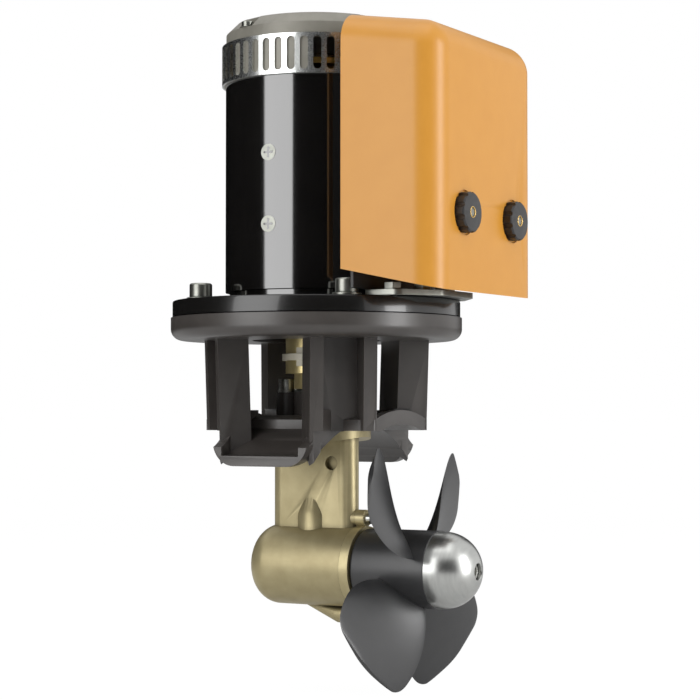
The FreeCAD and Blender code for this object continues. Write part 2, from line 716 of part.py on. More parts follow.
def make_leg():
    """The bronze gear leg: saddle flange, strut with round screw columns, and gear body."""
    owner = new_body("gear_leg")
    saddle_sheet(owner, flange_floor, flange_top)
    reach = s.leg_screw_reach
    half = s.strut_half
    strut = [
        arc_to(-reach, -half, -reach, 0), (reach, -half), arc_to(reach + half, 0, reach, 0),
        arc_to(reach, half, reach, 0), (-reach, half), arc_to(-reach - half, 0, -reach, 0),
    ]
    strut_foot = s.leg_radius / 2
    padded(owner, new_sketch(owner, "XY_Plane", [strut], offset=strut_foot),
           flange_top - s.flange_thick / 2 - strut_foot)
    round_start = s.leg_rear - s.leg_rear_round
    nose = s.leg_radius - s.leg_rear_round
    turned(owner, [
        (-s.leg_rear, 0), (-s.leg_rear, nose),
        arc_to(-round_start, s.leg_radius, -round_start, nose),
        (s.leg_front, s.leg_radius), (s.leg_front, 0),
    ], axis="X")
    bulge = s.leg_bulge_radius
    turned(owner, [(0, strut_foot), (bulge, strut_foot), (bulge, s.leg_bulge_top),
                   (half, s.leg_bulge_top + bulge), (0, s.leg_bulge_top + bulge)])
    for way in (1, -1):
        drum(owner, s.lug_radius, s.leg_front - s.lug_length, s.leg_front, axis="X",
             at=(0, s.lug_height * way))
        tip_radius = s.lug_radius / 3
        tip = new_sketch(owner, "YZ_Plane",
                         circles=[(0, (s.leg_radius - tip_radius) * way, tip_radius)],
                         offset=s.leg_front - s.lug_length - s.fairing_length)
        base = new_sketch(owner, "YZ_Plane", circles=[(0, s.lug_height * way, s.lug_radius)],
                          offset=s.leg_front - s.lug_length)
        fairing = owner.newObject("PartDesign::AdditiveLoft", "Fairing")
        fairing.Profile = tip
        fairing.Sections = [base]

    drum(owner, s.gear_bore, -s.gear_space_rear, s.leg_front + 1, axis="X", cut=True)
    drum(owner, s.rear_bearing_radius, -s.gear_space_rear - s.rear_bearing_width,
         -s.gear_space_rear + 1, axis="X", cut=True)
    chamber = s.gear_bore * s.pinion_teeth / s.crown_teeth + s.tooth_module
    drum(owner, chamber, 0, s.leg_radius, cut=True)
    drum(owner, bush_radius, 0, s.saddle_radius, cut=True)
    drum(owner, s.drain_radius, -half - 1, -half + s.drain_depth, axis="Y",
         at=(s.drain_x, s.drain_height), cut=True)
    for way in (1, -1):
        drum(owner, s.leg_screw_radius, leg_screw_end, s.saddle_radius,
             at=(reach * way, 0), cut=True)
        drum(owner, s.lug_screw_radius, s.leg_front - s.end_cap_spigot, s.leg_front + 1,
             axis="X", at=(0, s.lug_height * way), cut=True)


def make_gasket():
    """The gasket between the leg's flange and the saddle."""
    owner = new_body("leg_gasket")
    saddle_sheet(owner, flange_top, s.saddle_radius)
    drum(owner, bush_radius, 0, s.saddle_radius + 1, cut=True)
    for way in (1, -1):
        drum(owner, leg_screw_hole, 0, s.saddle_radius + 1,
             at=(s.leg_screw_reach * way, 0), cut=True)


def make_end_cap():
    """The brass cap that closes the gear space and holds the front bearing and seal."""
    owner = new_body("leg_end_cap")
    rear = s.leg_front - s.end_cap_spigot
    seat_end = rear + s.front_bearing_width
    turned(owner, [
        (rear, s.front_bearing_radius), (rear, s.gear_bore), (s.leg_front, s.gear_bore),
        (s.leg_front, s.leg_radius), (end_face, s.leg_radius), (end_face, s.seal_radius),
        (seat_end, s.seal_radius), (seat_end, s.front_bearing_radius),
    ], axis="X")
    for way in (1, -1):
        drum(owner, s.lug_radius, s.leg_front, end_face, axis="X", at=(0, s.lug_height * way))
    for way in (1, -1):
        drum(owner, s.lug_screw_radius, s.leg_front - 1, end_face + 1, axis="X",
             at=(0, s.lug_height * way), cut=True)


def make_leg_fasteners():
    """Two long socket screws with washers through the saddle, and two in the end cap."""
    seat = s.boss_top + s.spring_washer_thick
    owner = new_body("leg_screws")
    reach = s.leg_screw_reach
    outer = reach + s.leg_screw_head_radius
    head_floor = seat
    head_top = seat + s.leg_screw_head
    socket = s.leg_screw_radius
    screw = turned(owner, [
        (reach, leg_screw_end), (reach + s.leg_screw_radius, leg_screw_end),
        (reach + s.leg_screw_radius, head_floor), (outer, head_floor), (outer, head_top),
        (reach + socket, head_top), (reach + socket, head_top - socket),
        (reach, head_top - socket),
    ], at=reach)
    polar(owner, screw, 2)
    washers = new_body("leg_screw_washers")
    ring = turned(washers, [
        (reach + s.leg_screw_radius, s.boss_top), (outer + 0.5, s.boss_top),
        (outer + 0.5, seat), (reach + s.leg_screw_radius, seat),
    ], at=reach)
    polar(washers, ring, 2)

    screws = new_body("leg_end_cap_screws")
    for way in (1, -1):
        drum(screws, s.lug_screw_radius, s.leg_front - s.end_cap_spigot, end_face, axis="X",
             at=(0, s.lug_height * way))
        drum(screws, s.lug_screw_radius * HEAD_SHARE, end_face,
             end_face + s.lug_screw_radius * HEAD_SHARE, axis="X", at=(0, s.lug_height * way))


def make_leg_bearings():
    """Bushes, bearings and seals of the two shafts in the leg."""
    bore = s.pinion_shaft_radius + s.running_gap
    bushes = new_body("pinion_bushes")
    top = flange_top
    turned(bushes, [(bore, s.leg_radius), (bush_radius, s.leg_radius),
                    (bush_radius, s.leg_radius + s.bush_length),
                    (bore, s.leg_radius + s.bush_length)])
    turned(bushes, [(bore, top - s.bush_length), (bush_radius, top - s.bush_length),
                    (bush_radius, top), (bore, top)])
    ring_piece("pinion_shaft_seal", bore, bush_radius, top, s.saddle_radius + s.floor_wall)
    seat = s.boss_top - s.bearing_seat_depth
    ring_piece("pinion_bearing", bore, s.rear_bearing_radius, seat, s.boss_top)
    ring_piece("boss_ring", s.pinion_shaft_radius + 1, s.boss_radius, s.boss_top,
               s.boss_top + s.boss_ring_thick)
    hole = s.shaft_radius + s.running_gap
    rear = s.leg_front - s.end_cap_spigot
    ring_piece("front_shaft_bearing", hole, s.front_bearing_radius, rear,
               rear + s.front_bearing_width, axis="X")
    back = -s.gear_space_rear
    ring_piece("rear_shaft_bearing", hole, s.rear_bearing_radius,
               back - s.rear_bearing_width, back, axis="X")
    ring_piece("propeller_shaft_seal", hole, s.seal_radius, rear + s.front_bearing_width,
               end_face, axis="X")


make_leg()
make_gasket()
make_end_cap()
make_leg_fasteners()
make_leg_bearings()


# ---------------------------------------------------------------- bevel gears

PRESSURE_ANGLE = 20
FLANK_STEPS = 4
ROOT_SHARE = 1.25
BACK_SLOPE = 0.2


def bevel_tooth(teeth, mate_teeth, module, face, backlash, sink):
    """One straight bevel tooth about +Z, its apex at the origin, centred towards +X.

    The tooth's section is an involute one on the back cone, and it shrinks towards the apex.
    """
    pitch_radius = module * teeth / 2
    apex_height = module * mate_teeth / 2
    cone_distance = math.hypot(pitch_radius, apex_height)
    sine = pitch_radius / cone_distance
    cosine = apex_height / cone_distance
    virtual_radius = pitch_radius / cosine
    pressure = math.radians(PRESSURE_ANGLE)
    base_radius = virtual_radius * math.cos(pressure)
    root_radius = virtual_radius - ROOT_SHARE * module
    tip_radius = virtual_radius + module
    half_angle = math.pi / 2 * module / virtual_radius / 2 - backlash / 2 / virtual_radius
    involute_at_pitch = math.tan(pressure) - pressure

    def flank_angle(radius):
        """Half of the angle that the tooth covers at a radius of its virtual gear."""
        share = min(1, base_radius / max(radius, base_radius))
        roll = math.acos(share)
        return half_angle + involute_at_pitch - (math.tan(roll) - roll)

    start = max(base_radius, root_radius)
    radii = [start + (tip_radius - start) * step / FLANK_STEPS for step in range(FLANK_STEPS + 1)]
    radii = [root_radius - sink] + radii
    half = [(radius, flank_angle(radius)) for radius in radii]
    outline = [(radius, -angle) for radius, angle in half] + half[::-1]
    center = Vector(pitch_radius - virtual_radius * cosine, 0, apex_height + virtual_radius * sine)
    outward = Vector(cosine, 0, -sine)
    sections = []
    for scale in (1, (cone_distance - face) / cone_distance):
        points = [
            (center + outward * (radius * math.cos(angle)) + Vector(0, radius * math.sin(angle), 0))
            * scale
            for radius, angle in outline
        ]
        sections.append(Part.makePolygon(points + points[:1]))
    return Part.makeLoft(sections, True, True)


def bevel_gear(teeth, mate_teeth, hub_radius, hub_end, bore, first_tooth):
    """A bevel gear about +Z: blank cone, hub, bore and teeth, its apex at the origin."""
    module = float(s.tooth_module)
    face = float(s.tooth_face)
    pitch_radius = module * teeth / 2
    apex_height = module * mate_teeth / 2
    cone_distance = math.hypot(pitch_radius, apex_height)
    sine = pitch_radius / cone_distance
    cosine = apex_height / cone_distance
    depth = ROOT_SHARE * module
    small = (cone_distance - face) / cone_distance
    root_large = Vector(pitch_radius - depth * cosine, 0, apex_height + depth * sine)
    root_small = root_large * small
    profile = [
        Vector(bore, 0, root_small.z), root_small, root_large,
        Vector(hub_radius, 0, root_large.z + (root_large.x - hub_radius) * BACK_SLOPE),
        Vector(hub_radius, 0, hub_end), Vector(bore, 0, hub_end),
    ]
    blank = Part.Face(Part.makePolygon(profile + profile[:1]))
    blank = blank.revolve(Vector(0, 0, 0), Vector(0, 0, 1), FULL_TURN)
    tooth = bevel_tooth(teeth, mate_teeth, module, face, float(s.tooth_backlash), module / 4)
    turned_teeth = []
    for number in range(int(teeth)):
        copy = tooth.copy()
        copy.rotate(Vector(0, 0, 0), Vector(0, 0, 1), FULL_TURN / teeth * (number + first_tooth))
        turned_teeth.append(copy)
    return blank.multiFuse(turned_teeth).removeSplitter()


def make_gears():
    """The pinion on the upright shaft and the crown gear on the propeller shaft, in mesh."""
    back = float(s.leg_radius - s.hub_gap)
    pinion = bevel_gear(s.pinion_teeth, s.crown_teeth, float(bush_radius), back,
                        float(s.pinion_shaft_radius), 0)
    feature("pinion", pinion)
    rear = float(s.leg_front - s.end_cap_spigot - s.hub_gap)
    crown = bevel_gear(s.crown_teeth, s.pinion_teeth, float(s.rear_bearing_radius), rear,
                       float(s.shaft_radius), 0.5)
    feature("crown_gear", crown, TURNS["X"])


make_gears()


# ---------------------------------------------------------------- propeller and its shaft

BLADE_STATIONS = (0, 0.25, 0.5, 0.7, 0.85, 0.94, 0.985)


def blade_side(height, root_height):
    """Half width of a blade: it flares from the hub, then closes as a rounded square."""
    wide = s.blade_wide_height
    if height < wide:
        below = (wide - height) / (wide - root_height)
        return s.blade_half_width - (s.blade_half_width - s.blade_root_half) * below * below
    above = (height - wide) / (s.blade_tip - wide)
    side = s.blade_half_width * cube_root(1 - above * above * above)
    return min(side, chord_height(s.blade_tip, height))


def blade_section(owner, height, side, thickness):
    """A blade's lens section on the plane at one height over the propeller axis."""
    advance = s.blade_pitch / FULL_TURN * arctangent(side / height)
    chord = root(advance * advance + side * side)
    bulge = thickness / 2
    arc_radius = (chord * chord + bulge * bulge) / (bulge * 2)
    across_x = side / chord
    across_y = advance / chord
    drop = arc_radius - bulge
    middle = blade_middle
    start = (middle - advance, side)
    end = (middle + advance, -side)
    upper = (middle - across_x * drop, -across_y * drop)
    lower = (middle + across_x * drop, across_y * drop)
    points = [arc_to(start[0], start[1], lower[0], lower[1]),
              arc_to(end[0], end[1], upper[0], upper[1])]
    return new_sketch(owner, "XY_Plane", [points], offset=height)


def make_propeller():
    """Hub with four wide, gently twisted blades."""
    owner = new_body("propeller")
    inner = s.hub_radius - s.hub_round
    turned(owner, [
        (hub_rear, s.shaft_radius), (hub_rear, inner),
        arc_to(hub_rear + s.hub_round, s.hub_radius, hub_rear + s.hub_round, inner),
        (hub_front, s.hub_radius), (hub_front, s.shaft_radius),
    ], axis="X")
    root_height = s.hub_radius - s.hub_round * 2
    sections = []
    for share in BLADE_STATIONS:
        height = root_height + (s.blade_tip - root_height) * share
        thick = s.blade_root_thick + (s.blade_tip_thick - s.blade_root_thick) * share
        side = blade_side(height, root_height)
        sections.append(blade_section(owner, height, side, thick))
    blade = owner.newObject("PartDesign::AdditiveLoft", "Blade")
    blade.Profile = sections[0]
    blade.Sections = sections[1:]
    polar(owner, blade, s.blade_count, axis="X")
    pin = hub_rear + s.drive_pin_station
    drum(owner, s.drive_pin_radius, -s.drive_pin_half, s.drive_pin_half, axis="Z",
         at=(pin, 0), cut=True)
    owner.Placement = Placement(Vector(), Rotation(Vector(1, 0, 0), float(s.blade_phase)))
    owner.setExpression("Placement.Rotation.Angle", s.blade_phase.text)
    return owner


def make_propeller_shaft():
    """Shaft, drive pin, nose and the bolt that holds the nose on."""
    owner = new_body("propeller_shaft")
    rear = -s.gear_space_rear - s.rear_bearing_width
    turned(owner, [(rear, 0), (rear, s.shaft_radius), (hub_front, s.shaft_radius), (hub_front, 0)],
           axis="X")
    pin = hub_rear + s.drive_pin_station
    drum(owner, s.drive_pin_radius, -s.drive_pin_half, s.drive_pin_half, at=(pin, 0), cut=True)
    bolt_end = hub_front - s.shaft_radius * 2
    drum(owner, s.nose_bolt_radius, bolt_end, hub_front + 1, axis="X", cut=True)
    owner.Placement = Placement(Vector(), Rotation(Vector(1, 0, 0), float(s.blade_phase)))
    owner.setExpression("Placement.Rotation.Angle", s.blade_phase.text)

    peg = new_body("drive_pin")
    drum(peg, s.drive_pin_radius, -s.drive_pin_half, s.drive_pin_half, at=(pin, 0))
    peg.Placement = Placement(Vector(), Rotation(Vector(1, 0, 0), float(s.blade_phase)))
    peg.setExpression("Placement.Rotation.Angle", s.blade_phase.text)

    nose = new_body("nose_anode")
    dome_start = hub_front + s.nose_collar
    tip = dome_start + s.nose_radius
    well = s.nose_bolt_head + 1
    well_floor = tip - s.nose_bolt_well
    well_mouth = dome_start + chord_height(s.nose_radius, well)
    turned(nose, [
        (hub_front, s.nose_bolt_radius), (hub_front, s.nose_radius),
        (dome_start, s.nose_radius), arc_to(well_mouth, well, dome_start, 0),
        (well_floor, well), (well_floor, s.nose_bolt_radius),
    ], axis="X")
    bolt = new_body("nose_bolt")
    socket = s.nose_bolt_radius * SOCKET_SHARE
    head_end = well_floor + s.nose_bolt_head
    turned(bolt, [
        (bolt_end, 0), (bolt_end, s.nose_bolt_radius), (well_floor, s.nose_bolt_radius),
        (well_floor, s.nose_bolt_head), (head_end, s.nose_bolt_head), (head_end, socket),
        (head_end - socket, socket), (head_end - socket, 0),
    ], axis="X")


make_propeller()
make_propeller_shaft()


# ---------------------------------------------------------------- coupling and upright shafts

spider_floor = s.coupling_floor + s.coupling_hub + s.coupling_jaw
spider_top = spider_floor + s.spider_disc
upper_jaw_top = spider_top + s.coupling_jaw
upper_hub_top = upper_jaw_top + s.coupling_hub * 2


def cross_slots(owner, low, high, cut):
    """Two crossed bars, as slots between jaws or as the legs that fill them."""
    half = s.coupling_slot / 2
    reach = s.coupling_radius if not cut else s.spider_radius
    block(owner, (-reach, -half, low), (reach, half, high), cut=cut)
    block(owner, (-half, -reach, low), (half, reach, high), cut=cut)


def make_coupling():
    """Two brass jaw halves with a nylon spider between them."""
    upper = new_body("coupling_upper")
    bore = s.motor_shaft_radius
    turned(upper, [(bore, spider_top), (s.coupling_radius, spider_top),
                   (s.coupling_radius, upper_hub_top), (bore, upper_hub_top)])
    cross_slots(upper, spider_top - 1, upper_jaw_top, True)
    lower = new_body("coupling_lower")
    small = s.pinion_shaft_radius
    turned(lower, [
        (small, s.coupling_neck_floor), (s.coupling_neck, s.coupling_neck_floor),
        (s.coupling_neck, s.coupling_floor), (s.coupling_radius, s.coupling_floor),
        (s.coupling_radius, spider_floor), (small, spider_floor),
    ])
    cross_slots(lower, spider_floor - s.coupling_jaw, spider_floor + 1, True)
    spider = new_body("coupling_spider")
    hole = s.motor_shaft_radius
    turned(spider, [(hole, spider_floor), (s.spider_radius, spider_floor),
                    (s.spider_radius, spider_top), (hole, spider_top)])
    cross_slots(spider, spider_floor - s.coupling_jaw, upper_jaw_top, False)
    drum(spider, hole, spider_floor - s.coupling_jaw, upper_jaw_top, cut=True)


def make_upright_shafts():
    """The pinion shaft and the motor shaft, end to end inside the coupling."""
    pinion_shaft = new_body("pinion_shaft")
    start = s.shaft_radius + s.tooth_face
    turned(pinion_shaft, [(0, start), (s.pinion_shaft_radius, start),
                          (s.pinion_shaft_radius, spider_floor), (0, spider_floor)])
    motor_shaft = new_body("motor_shaft")
    seat = cap_top - s.cap_roof
    turned(motor_shaft, [(0, spider_top), (s.motor_shaft_radius, spider_top),
                         (s.motor_shaft_radius, seat), (0, seat)])


make_coupling()
make_upright_shafts()


# ---------------------------------------------------------------- motor plate and its bolts

bolt_spot = s.bolt_circle / math.sqrt(2)
bearing_wall = s.yoke_wall / 2
bracket_floor = plate_top - s.bracket_thick


def make_plate():
    """The round plate between motor and support, its bolts and washers."""
    plate = new_body("motor_plate")
    turned(plate, [(s.plate_bore, s.ring_top), (s.plate_radius, s.ring_top),
                   (s.plate_radius, plate_top), (s.plate_bore, plate_top)])
    hole = drum(plate, s.bolt_radius + s.hole_gap, s.ring_top - 1, plate_top + 1,
                at=(bolt_spot, bolt_spot), cut=True)
    polar(plate, hole, 4)
    for x, y in tray_bolt_spots():
        drum(plate, s.stud_radius, s.ring_top, plate_top + 1, at=(x, y), cut=True)

    washers = new_body("plate_washers")
    reach = s.bolt_circle
    seat = plate_top + s.washer_thick
    ring = turned(washers, [
        (reach + s.bolt_radius, plate_top), (reach + s.washer_radius, plate_top),
        (reach + s.washer_radius, seat), (reach + s.bolt_radius, seat),
    ], at=reach)
    polar(washers, ring, 4)
    washers.Placement = Placement(Vector(), Rotation(Vector(0, 0, 1), DIAGONAL))

    bolts = new_body("plate_bolts")
    top = seat + s.bolt_head
    socket = s.bolt_radius * SOCKET_SHARE
    bolt = turned(bolts, [
        (reach, s.ring_top - s.bolt_depth), (reach + s.bolt_radius, s.ring_top - s.bolt_depth),
        (reach + s.bolt_radius, seat), (reach + s.bolt_head_radius, seat),
        (reach + s.bolt_head_radius, top - 1), (reach + s.bolt_head_radius - 1, top),
        (reach + socket, top), (reach + socket, top - s.bolt_radius),
        (reach, top - s.bolt_radius),
    ], at=reach)
    polar(bolts, bolt, 4)
    bolts.Placement = Placement(Vector(), Rotation(Vector(0, 0, 1), DIAGONAL))


def tray_bolt_spots():
    """Where the tray's four bolts stand."""
    wide = s.tray_half - s.tray_corner - 1
    narrow = s.tray_nose_half - s.nut_radius
    return [(s.bolt_circle, wide), (s.bolt_circle, -wide),
            (s.bolt_circle + s.bolt_head, narrow), (s.bolt_circle + s.bolt_head, -narrow)]


make_plate()


# ---------------------------------------------------------------- motor

def make_bracket():
    """The drive end bracket with its bearing seat."""
    owner = new_body("drive_end_bracket")
    inner = s.motor_radius - s.yoke_wall
    seat = s.motor_bearing_radius
    lip = seat / 2
    wall = seat + bearing_wall
    shelf = bracket_floor + bearing_wall
    turned(owner, [
        (lip, bracket_floor), (s.plate_bore, bracket_floor), (s.plate_bore, plate_top),
        (s.bracket_radius, plate_top), (s.bracket_radius, bracket_top), (inner, bracket_top),
        (inner, bracket_top + bearing_wall), (inner - bearing_wall, bracket_top + bearing_wall),
        (inner - bearing_wall, bracket_top), (wall, bracket_top),
        (wall, shelf + s.motor_bearing_width), (seat, shelf + s.motor_bearing_width),
        (seat, shelf), (lip, shelf),
    ])
    bore = s.motor_shaft_radius + s.running_gap
    roof = cap_top - s.cap_roof
    bearings = new_body("motor_bearings")
    for floor in (shelf, roof - s.motor_bearing_width):
        top = floor + s.motor_bearing_width
        turned(bearings, [(bore, floor), (seat, floor), (seat, top), (bore, top)])


def screw_profile(start, height):
    """Half of a countersunk pole screw's outline, from its tip to the yoke's outside."""
    sink = s.motor_radius - (s.pole_screw_head - s.pole_screw_radius)
    return [
        (start, height), (s.motor_radius, height), (s.motor_radius, height + s.pole_screw_head),
        (sink, height + s.pole_screw_radius), (start, height + s.pole_screw_radius),
    ]


def pole_screw_heights():
    """Heights of the two screws in each pole."""
    return (s.pole_middle + s.pole_pair_offset, s.pole_middle - s.pole_pair_offset)


def make_yoke():
    """The motor's steel tube, drilled for the pole screws."""
    owner = new_body("motor_yoke")
    inner = s.motor_radius - s.yoke_wall
    turned(owner, [(inner, bracket_top), (s.motor_radius, bracket_top),
                   (s.motor_radius, yoke_top), (inner, yoke_top)])
    for height in pole_screw_heights():
        hole = turned(owner, screw_profile(inner - 1, height), axis="X", cut=True, at=height)
        polar(owner, hole, 4)
    for way in (1, -1):
        drum(owner, terminal_bush_radius, inner - s.yoke_wall, s.motor_radius + 1,
             axis="X", at=(s.motor_terminal_reach * way, s.motor_terminal_height), cut=True)


def make_poles():
    """Four pole shoes with their screws, and the field coils round them."""
    face = s.armature_radius + s.air_gap
    inner = s.motor_radius - s.yoke_wall
    half_height = s.armature_length / 2
    low = s.pole_middle - half_height
    high = s.pole_middle + half_height
    core = s.pole_core_half
    back = chord_height(inner, core) - s.shoe_gap

    shoes = new_body("pole_shoes")
    edge = core * POLE_SPREAD
    outline = [
        arc_to(chord_height(face, edge), -edge, 0, 0),
        (chord_height(face + s.pole_thick, edge), -edge),
        arc_to(chord_height(face + s.pole_thick, core), -core, 0, 0),
        (back, -core), (back, core), (chord_height(face + s.pole_thick, core), core),
        arc_to(chord_height(face + s.pole_thick, edge), edge, 0, 0),
        (chord_height(face, edge), edge),
    ]
    shoe = padded(shoes, new_sketch(shoes, "XY_Plane", [outline], offset=low), high - low)
    polar(shoes, shoe, 4)
    tip = face + s.pole_thick
    for height in pole_screw_heights():
        hole = turned(shoes, screw_profile(tip, height), axis="X", cut=True, at=height)
        polar(shoes, hole, 4)

    screws = new_body("pole_screws")
    slot_half = s.pole_screw_radius * 1.2
    for height in pole_screw_heights():
        polar(screws, turned(screws, screw_profile(tip, height), axis="X", at=height), 4)
        for half_y, half_z in ((slot_half, 0.5), (0.5, slot_half)):
            slot = block(screws, (s.motor_radius - 1, -half_y, height - half_z),
                         (s.motor_radius + 1, half_y, height + half_z), cut=True)
            polar(screws, slot, 4)

    coils = new_body("field_coils")
    wide = core * POLE_SPREAD
    tall = half_height + s.coil_thick
    start = chord_height(face + s.pole_thick, core) + s.coil_gap
    end = chord_height(inner, wide) - s.coil_gap
    outer = block(coils, (start, -wide, s.pole_middle - tall), (end, wide, s.pole_middle + tall))
    polar(coils, outer, 4)
    hollow = block(coils, (start - 1, -core, low), (end + 1, core, high), cut=True)
    polar(coils, hollow, 4)


def make_rotor():
    """Armature core, windings and commutator on the motor shaft."""
    shaft = s.motor_shaft_radius
    half_height = s.armature_length / 2
    low = s.pole_middle - half_height
    high = s.pole_middle + half_height
    core = new_body("armature_core")
    turned(core, [(shaft, low), (s.armature_radius, low), (s.armature_radius, high),
                  (shaft, high)])
    depth = s.armature_radius / 6
    slot = block(core, (s.armature_radius - depth, -1.5, low - 1),
                 (s.armature_radius + 1, 1.5, high + 1), cut=True)
    polar(core, slot, s.armature_slots)

    windings = new_body("armature_windings")
    rim = s.armature_radius - depth / 2
    for start, way in ((high, 1), (low, -1)):
        end = start + s.commutator_radius / 2 * way
        shrink = s.armature_radius / 4
        turned(windings, [(shaft, start), (rim, start), (rim, start + shrink / 2 * way),
                          (rim - shrink, end), (shaft, end)])

    commutator = new_body("commutator")
    top = yoke_top + s.holder_wall * 4
    bottom = top - s.commutator_length
    turned(commutator, [(shaft, bottom), (s.commutator_radius, bottom),
                        (s.commutator_radius, top), (shaft, top)])
    gap = block(commutator, (s.commutator_radius - 1, -0.3, bottom - 1),
                (s.commutator_radius + 1, 0.3, top + 1), cut=True)
    polar(commutator, gap, s.commutator_bars)


def make_brushes():
    """Brush ring with four holders, the brushes and their rolled springs."""
    top = yoke_top + s.holder_wall * 4
    inner = s.motor_radius - s.yoke_wall
    tip = s.commutator_radius + s.brush_gap
    half = s.brush_width / 2
    wall = s.holder_wall
    brush_top = top - wall * 2
    brush_low = brush_top - s.brush_height
    tail = tip + s.brush_length
    ring = new_body("brush_ring")
    turned(ring, [(tip + wall, top), (inner, top), (inner, top + wall * 2),
                  (tip + wall, top + wall * 2)])
    holder = block(ring, (tip + wall * 2, -half - wall, brush_low - wall),
                   (tail, half + wall, top))
    polar(ring, holder, 4)
    channel = block(ring, (tip, -half, brush_low), (tail + 1, half, brush_top), cut=True)
    polar(ring, channel, 4)
    brushes = new_body("brushes")
    brush = block(brushes, (tip, -half, brush_low), (tail, half, brush_top))
    polar(brushes, brush, 4)
    springs = new_body("brush_springs")
    reach = tail + s.spring_radius
    roll = drum(springs, s.spring_radius, brush_low + wall, brush_top, at=(reach, 0))
    polar(springs, roll, 4)
    eye = drum(springs, s.spring_radius / 2, brush_low, brush_top + 1, at=(reach, 0), cut=True)
    polar(springs, eye, 4)
    for owner in (ring, brushes, springs):
        owner.Placement = Placement(Vector(), Rotation(Vector(0, 0, 1), DIAGONAL))


def make_end_cap_group():
    """The cast end cap, its bolts, and the polished vent band below it."""
    inner = s.motor_radius - s.yoke_wall
    roof = cap_top - s.cap_roof
    skirt = s.band_radius - s.band_thick
    seat = s.motor_bearing_radius
    wall = seat + bearing_wall
    cap = new_body("end_cap")
    turned(cap, [
        (inner, yoke_top), (skirt, yoke_top), (skirt, band_top), (s.cap_radius, band_top),
        (s.cap_radius, cap_edge), (s.cap_top_radius, cap_top), (0, cap_top), (0, roof),
        (seat, roof), (seat, roof - s.motor_bearing_width),
        (wall, roof - s.motor_bearing_width), (wall, roof), (inner, roof),
    ])
    half = s.brush_width * 2
    window = block(cap, (inner - s.yoke_wall, -half, yoke_top + s.holder_wall),
                   (skirt + 1, half, band_top - s.holder_wall), cut=True, turn=DIAGONAL)
    polar(cap, window, 4)
    notch_half = s.cap_slope
    notch = block(cap, (s.cap_top_radius - 1, -notch_half, cap_edge),
                  (s.cap_radius + 1, notch_half, cap_top + 1), cut=True, turn=s.cap_bolt_angle)
    polar(cap, notch, 4)
    hole = drum(cap, s.lug_screw_radius, yoke_top - 1, cap_top,
                at=cap_bolt_spot(), cut=True)
    polar(cap, hole, 4)

    bolts = new_body("end_cap_bolts")
    x, y = cap_bolt_spot()
    polar(bolts, drum(bolts, s.lug_screw_radius, yoke_top, cap_edge, at=(x, y)), 4)
    head = drum(bolts, s.lug_screw_radius * BOLT_HEAD_SHARE, cap_edge,
                cap_edge + s.lug_screw_radius * HEAD_SHARE, at=(x, y))
    polar(bolts, head, 4)

    band = new_body("vent_band")
    turned(band, [(skirt, yoke_top), (s.band_radius, yoke_top), (s.band_radius, band_top),
                  (skirt, band_top)])
    reach = s.band_slot_height / 2 - s.band_slot_radius
    middle = yoke_top + s.band_height / 2
    radius = s.band_slot_radius
    outline = [
        arc_to(-radius, middle - reach, 0, middle - reach),
        (-radius, middle + reach), arc_to(0, middle + reach + radius, 0, middle + reach),
        arc_to(radius, middle + reach, 0, middle + reach),
        (radius, middle - reach), arc_to(0, middle - reach - radius, 0, middle - reach),
    ]
    slot = padded(band, new_sketch(band, "XZ_Plane", [outline]), s.band_radius + 1, cut=True)
    polar(band, slot, s.band_slots)


def cap_bolt_spot():
    """Where the first end cap bolt stands."""
    angle = s.cap_bolt_angle
    side = tangent(angle)
    x = s.cap_bolt_circle / root(side * side + 1)
    return x, x * side


make_bracket()
make_yoke()
make_poles()
make_rotor()
make_brushes()
make_end_cap_group()


# ---------------------------------------------------------------- electrical box

panel_back = s.motor_radius + s.panel_gap
panel_front = panel_back + s.panel_thick
tray_floor = plate_top + s.tray_rise
tray_top = tray_floor + s.tray_thick


def shell_block(owner, inset):
    """The cover's outer form, or its inner form when inset by the wall."""
    back = s.cover_back
    front = s.cover_front - inset
    rise = inset * 1.01
    low_front = s.cover_foot_front
    low_back = s.cover_foot_back
    if inset:
        back = s.cover_back - 1
        low_front = s.cover_foot_front - s.cover_wall
        low_back = s.cover_foot_front - s.cover_wall
    outline = [(back, low_back), (front, low_front), (front, s.cover_top_front - rise),
               (back, s.cover_top_back - rise)]
    width = (s.cover_half - inset) * 2
    form = padded(owner, new_sketch(owner, "XZ_Plane", [outline]), width, True)
    front_place = float(front)
    form = rounded(owner, form, s.cover_corner - inset,
                   lambda edge: upright(edge) and near(edge.BoundBox.XMax, front_place))
    low_limit = float(s.cover_top_front - inset) - float(s.cover_corner)
    back_place = float(back)
    form = rounded(owner, form, s.cover_top_round - inset,
                   lambda edge: edge.BoundBox.ZMin > low_limit
                   and not (near(edge.BoundBox.XMin, back_place)
                            and near(edge.BoundBox.XMax, back_place)))
    return form


def make_cover():
    """The orange cover: a deep shell, open towards the motor and below."""
    outer = new_body("cover_outer", keep=False)
    shell_block(outer, 0)
    for way in (1, -1):
        drum(outer, s.knob_radius + 1.5, s.cover_front - s.knob_recess, s.cover_front + 1,
             axis="X", at=(s.knob_reach * way, s.knob_height), cut=True)
    inner = new_body("cover_inner", keep=False)
    shell_block(inner, s.cover_wall)
    for way in (1, -1):
        spot = (s.knob_reach * way, s.knob_height)
        drum(inner, s.insert_radius * 2, s.cover_front - s.cover_wall * 2,
             s.cover_front, axis="X", at=spot, cut=True)
    for way in (1, -1):
        spot = (s.knob_reach * way, s.knob_height)
        drum(inner, s.stud_radius + s.hole_gap, s.cover_front - s.cover_wall * 2 - 1,
             s.cover_front + 1, axis="X", at=spot)
    cover = doc.addObject("Part::Cut", "cover")
    cover.Label = "cover"
    cover.Base = outer
    cover.Tool = inner
    pieces.append(cover)


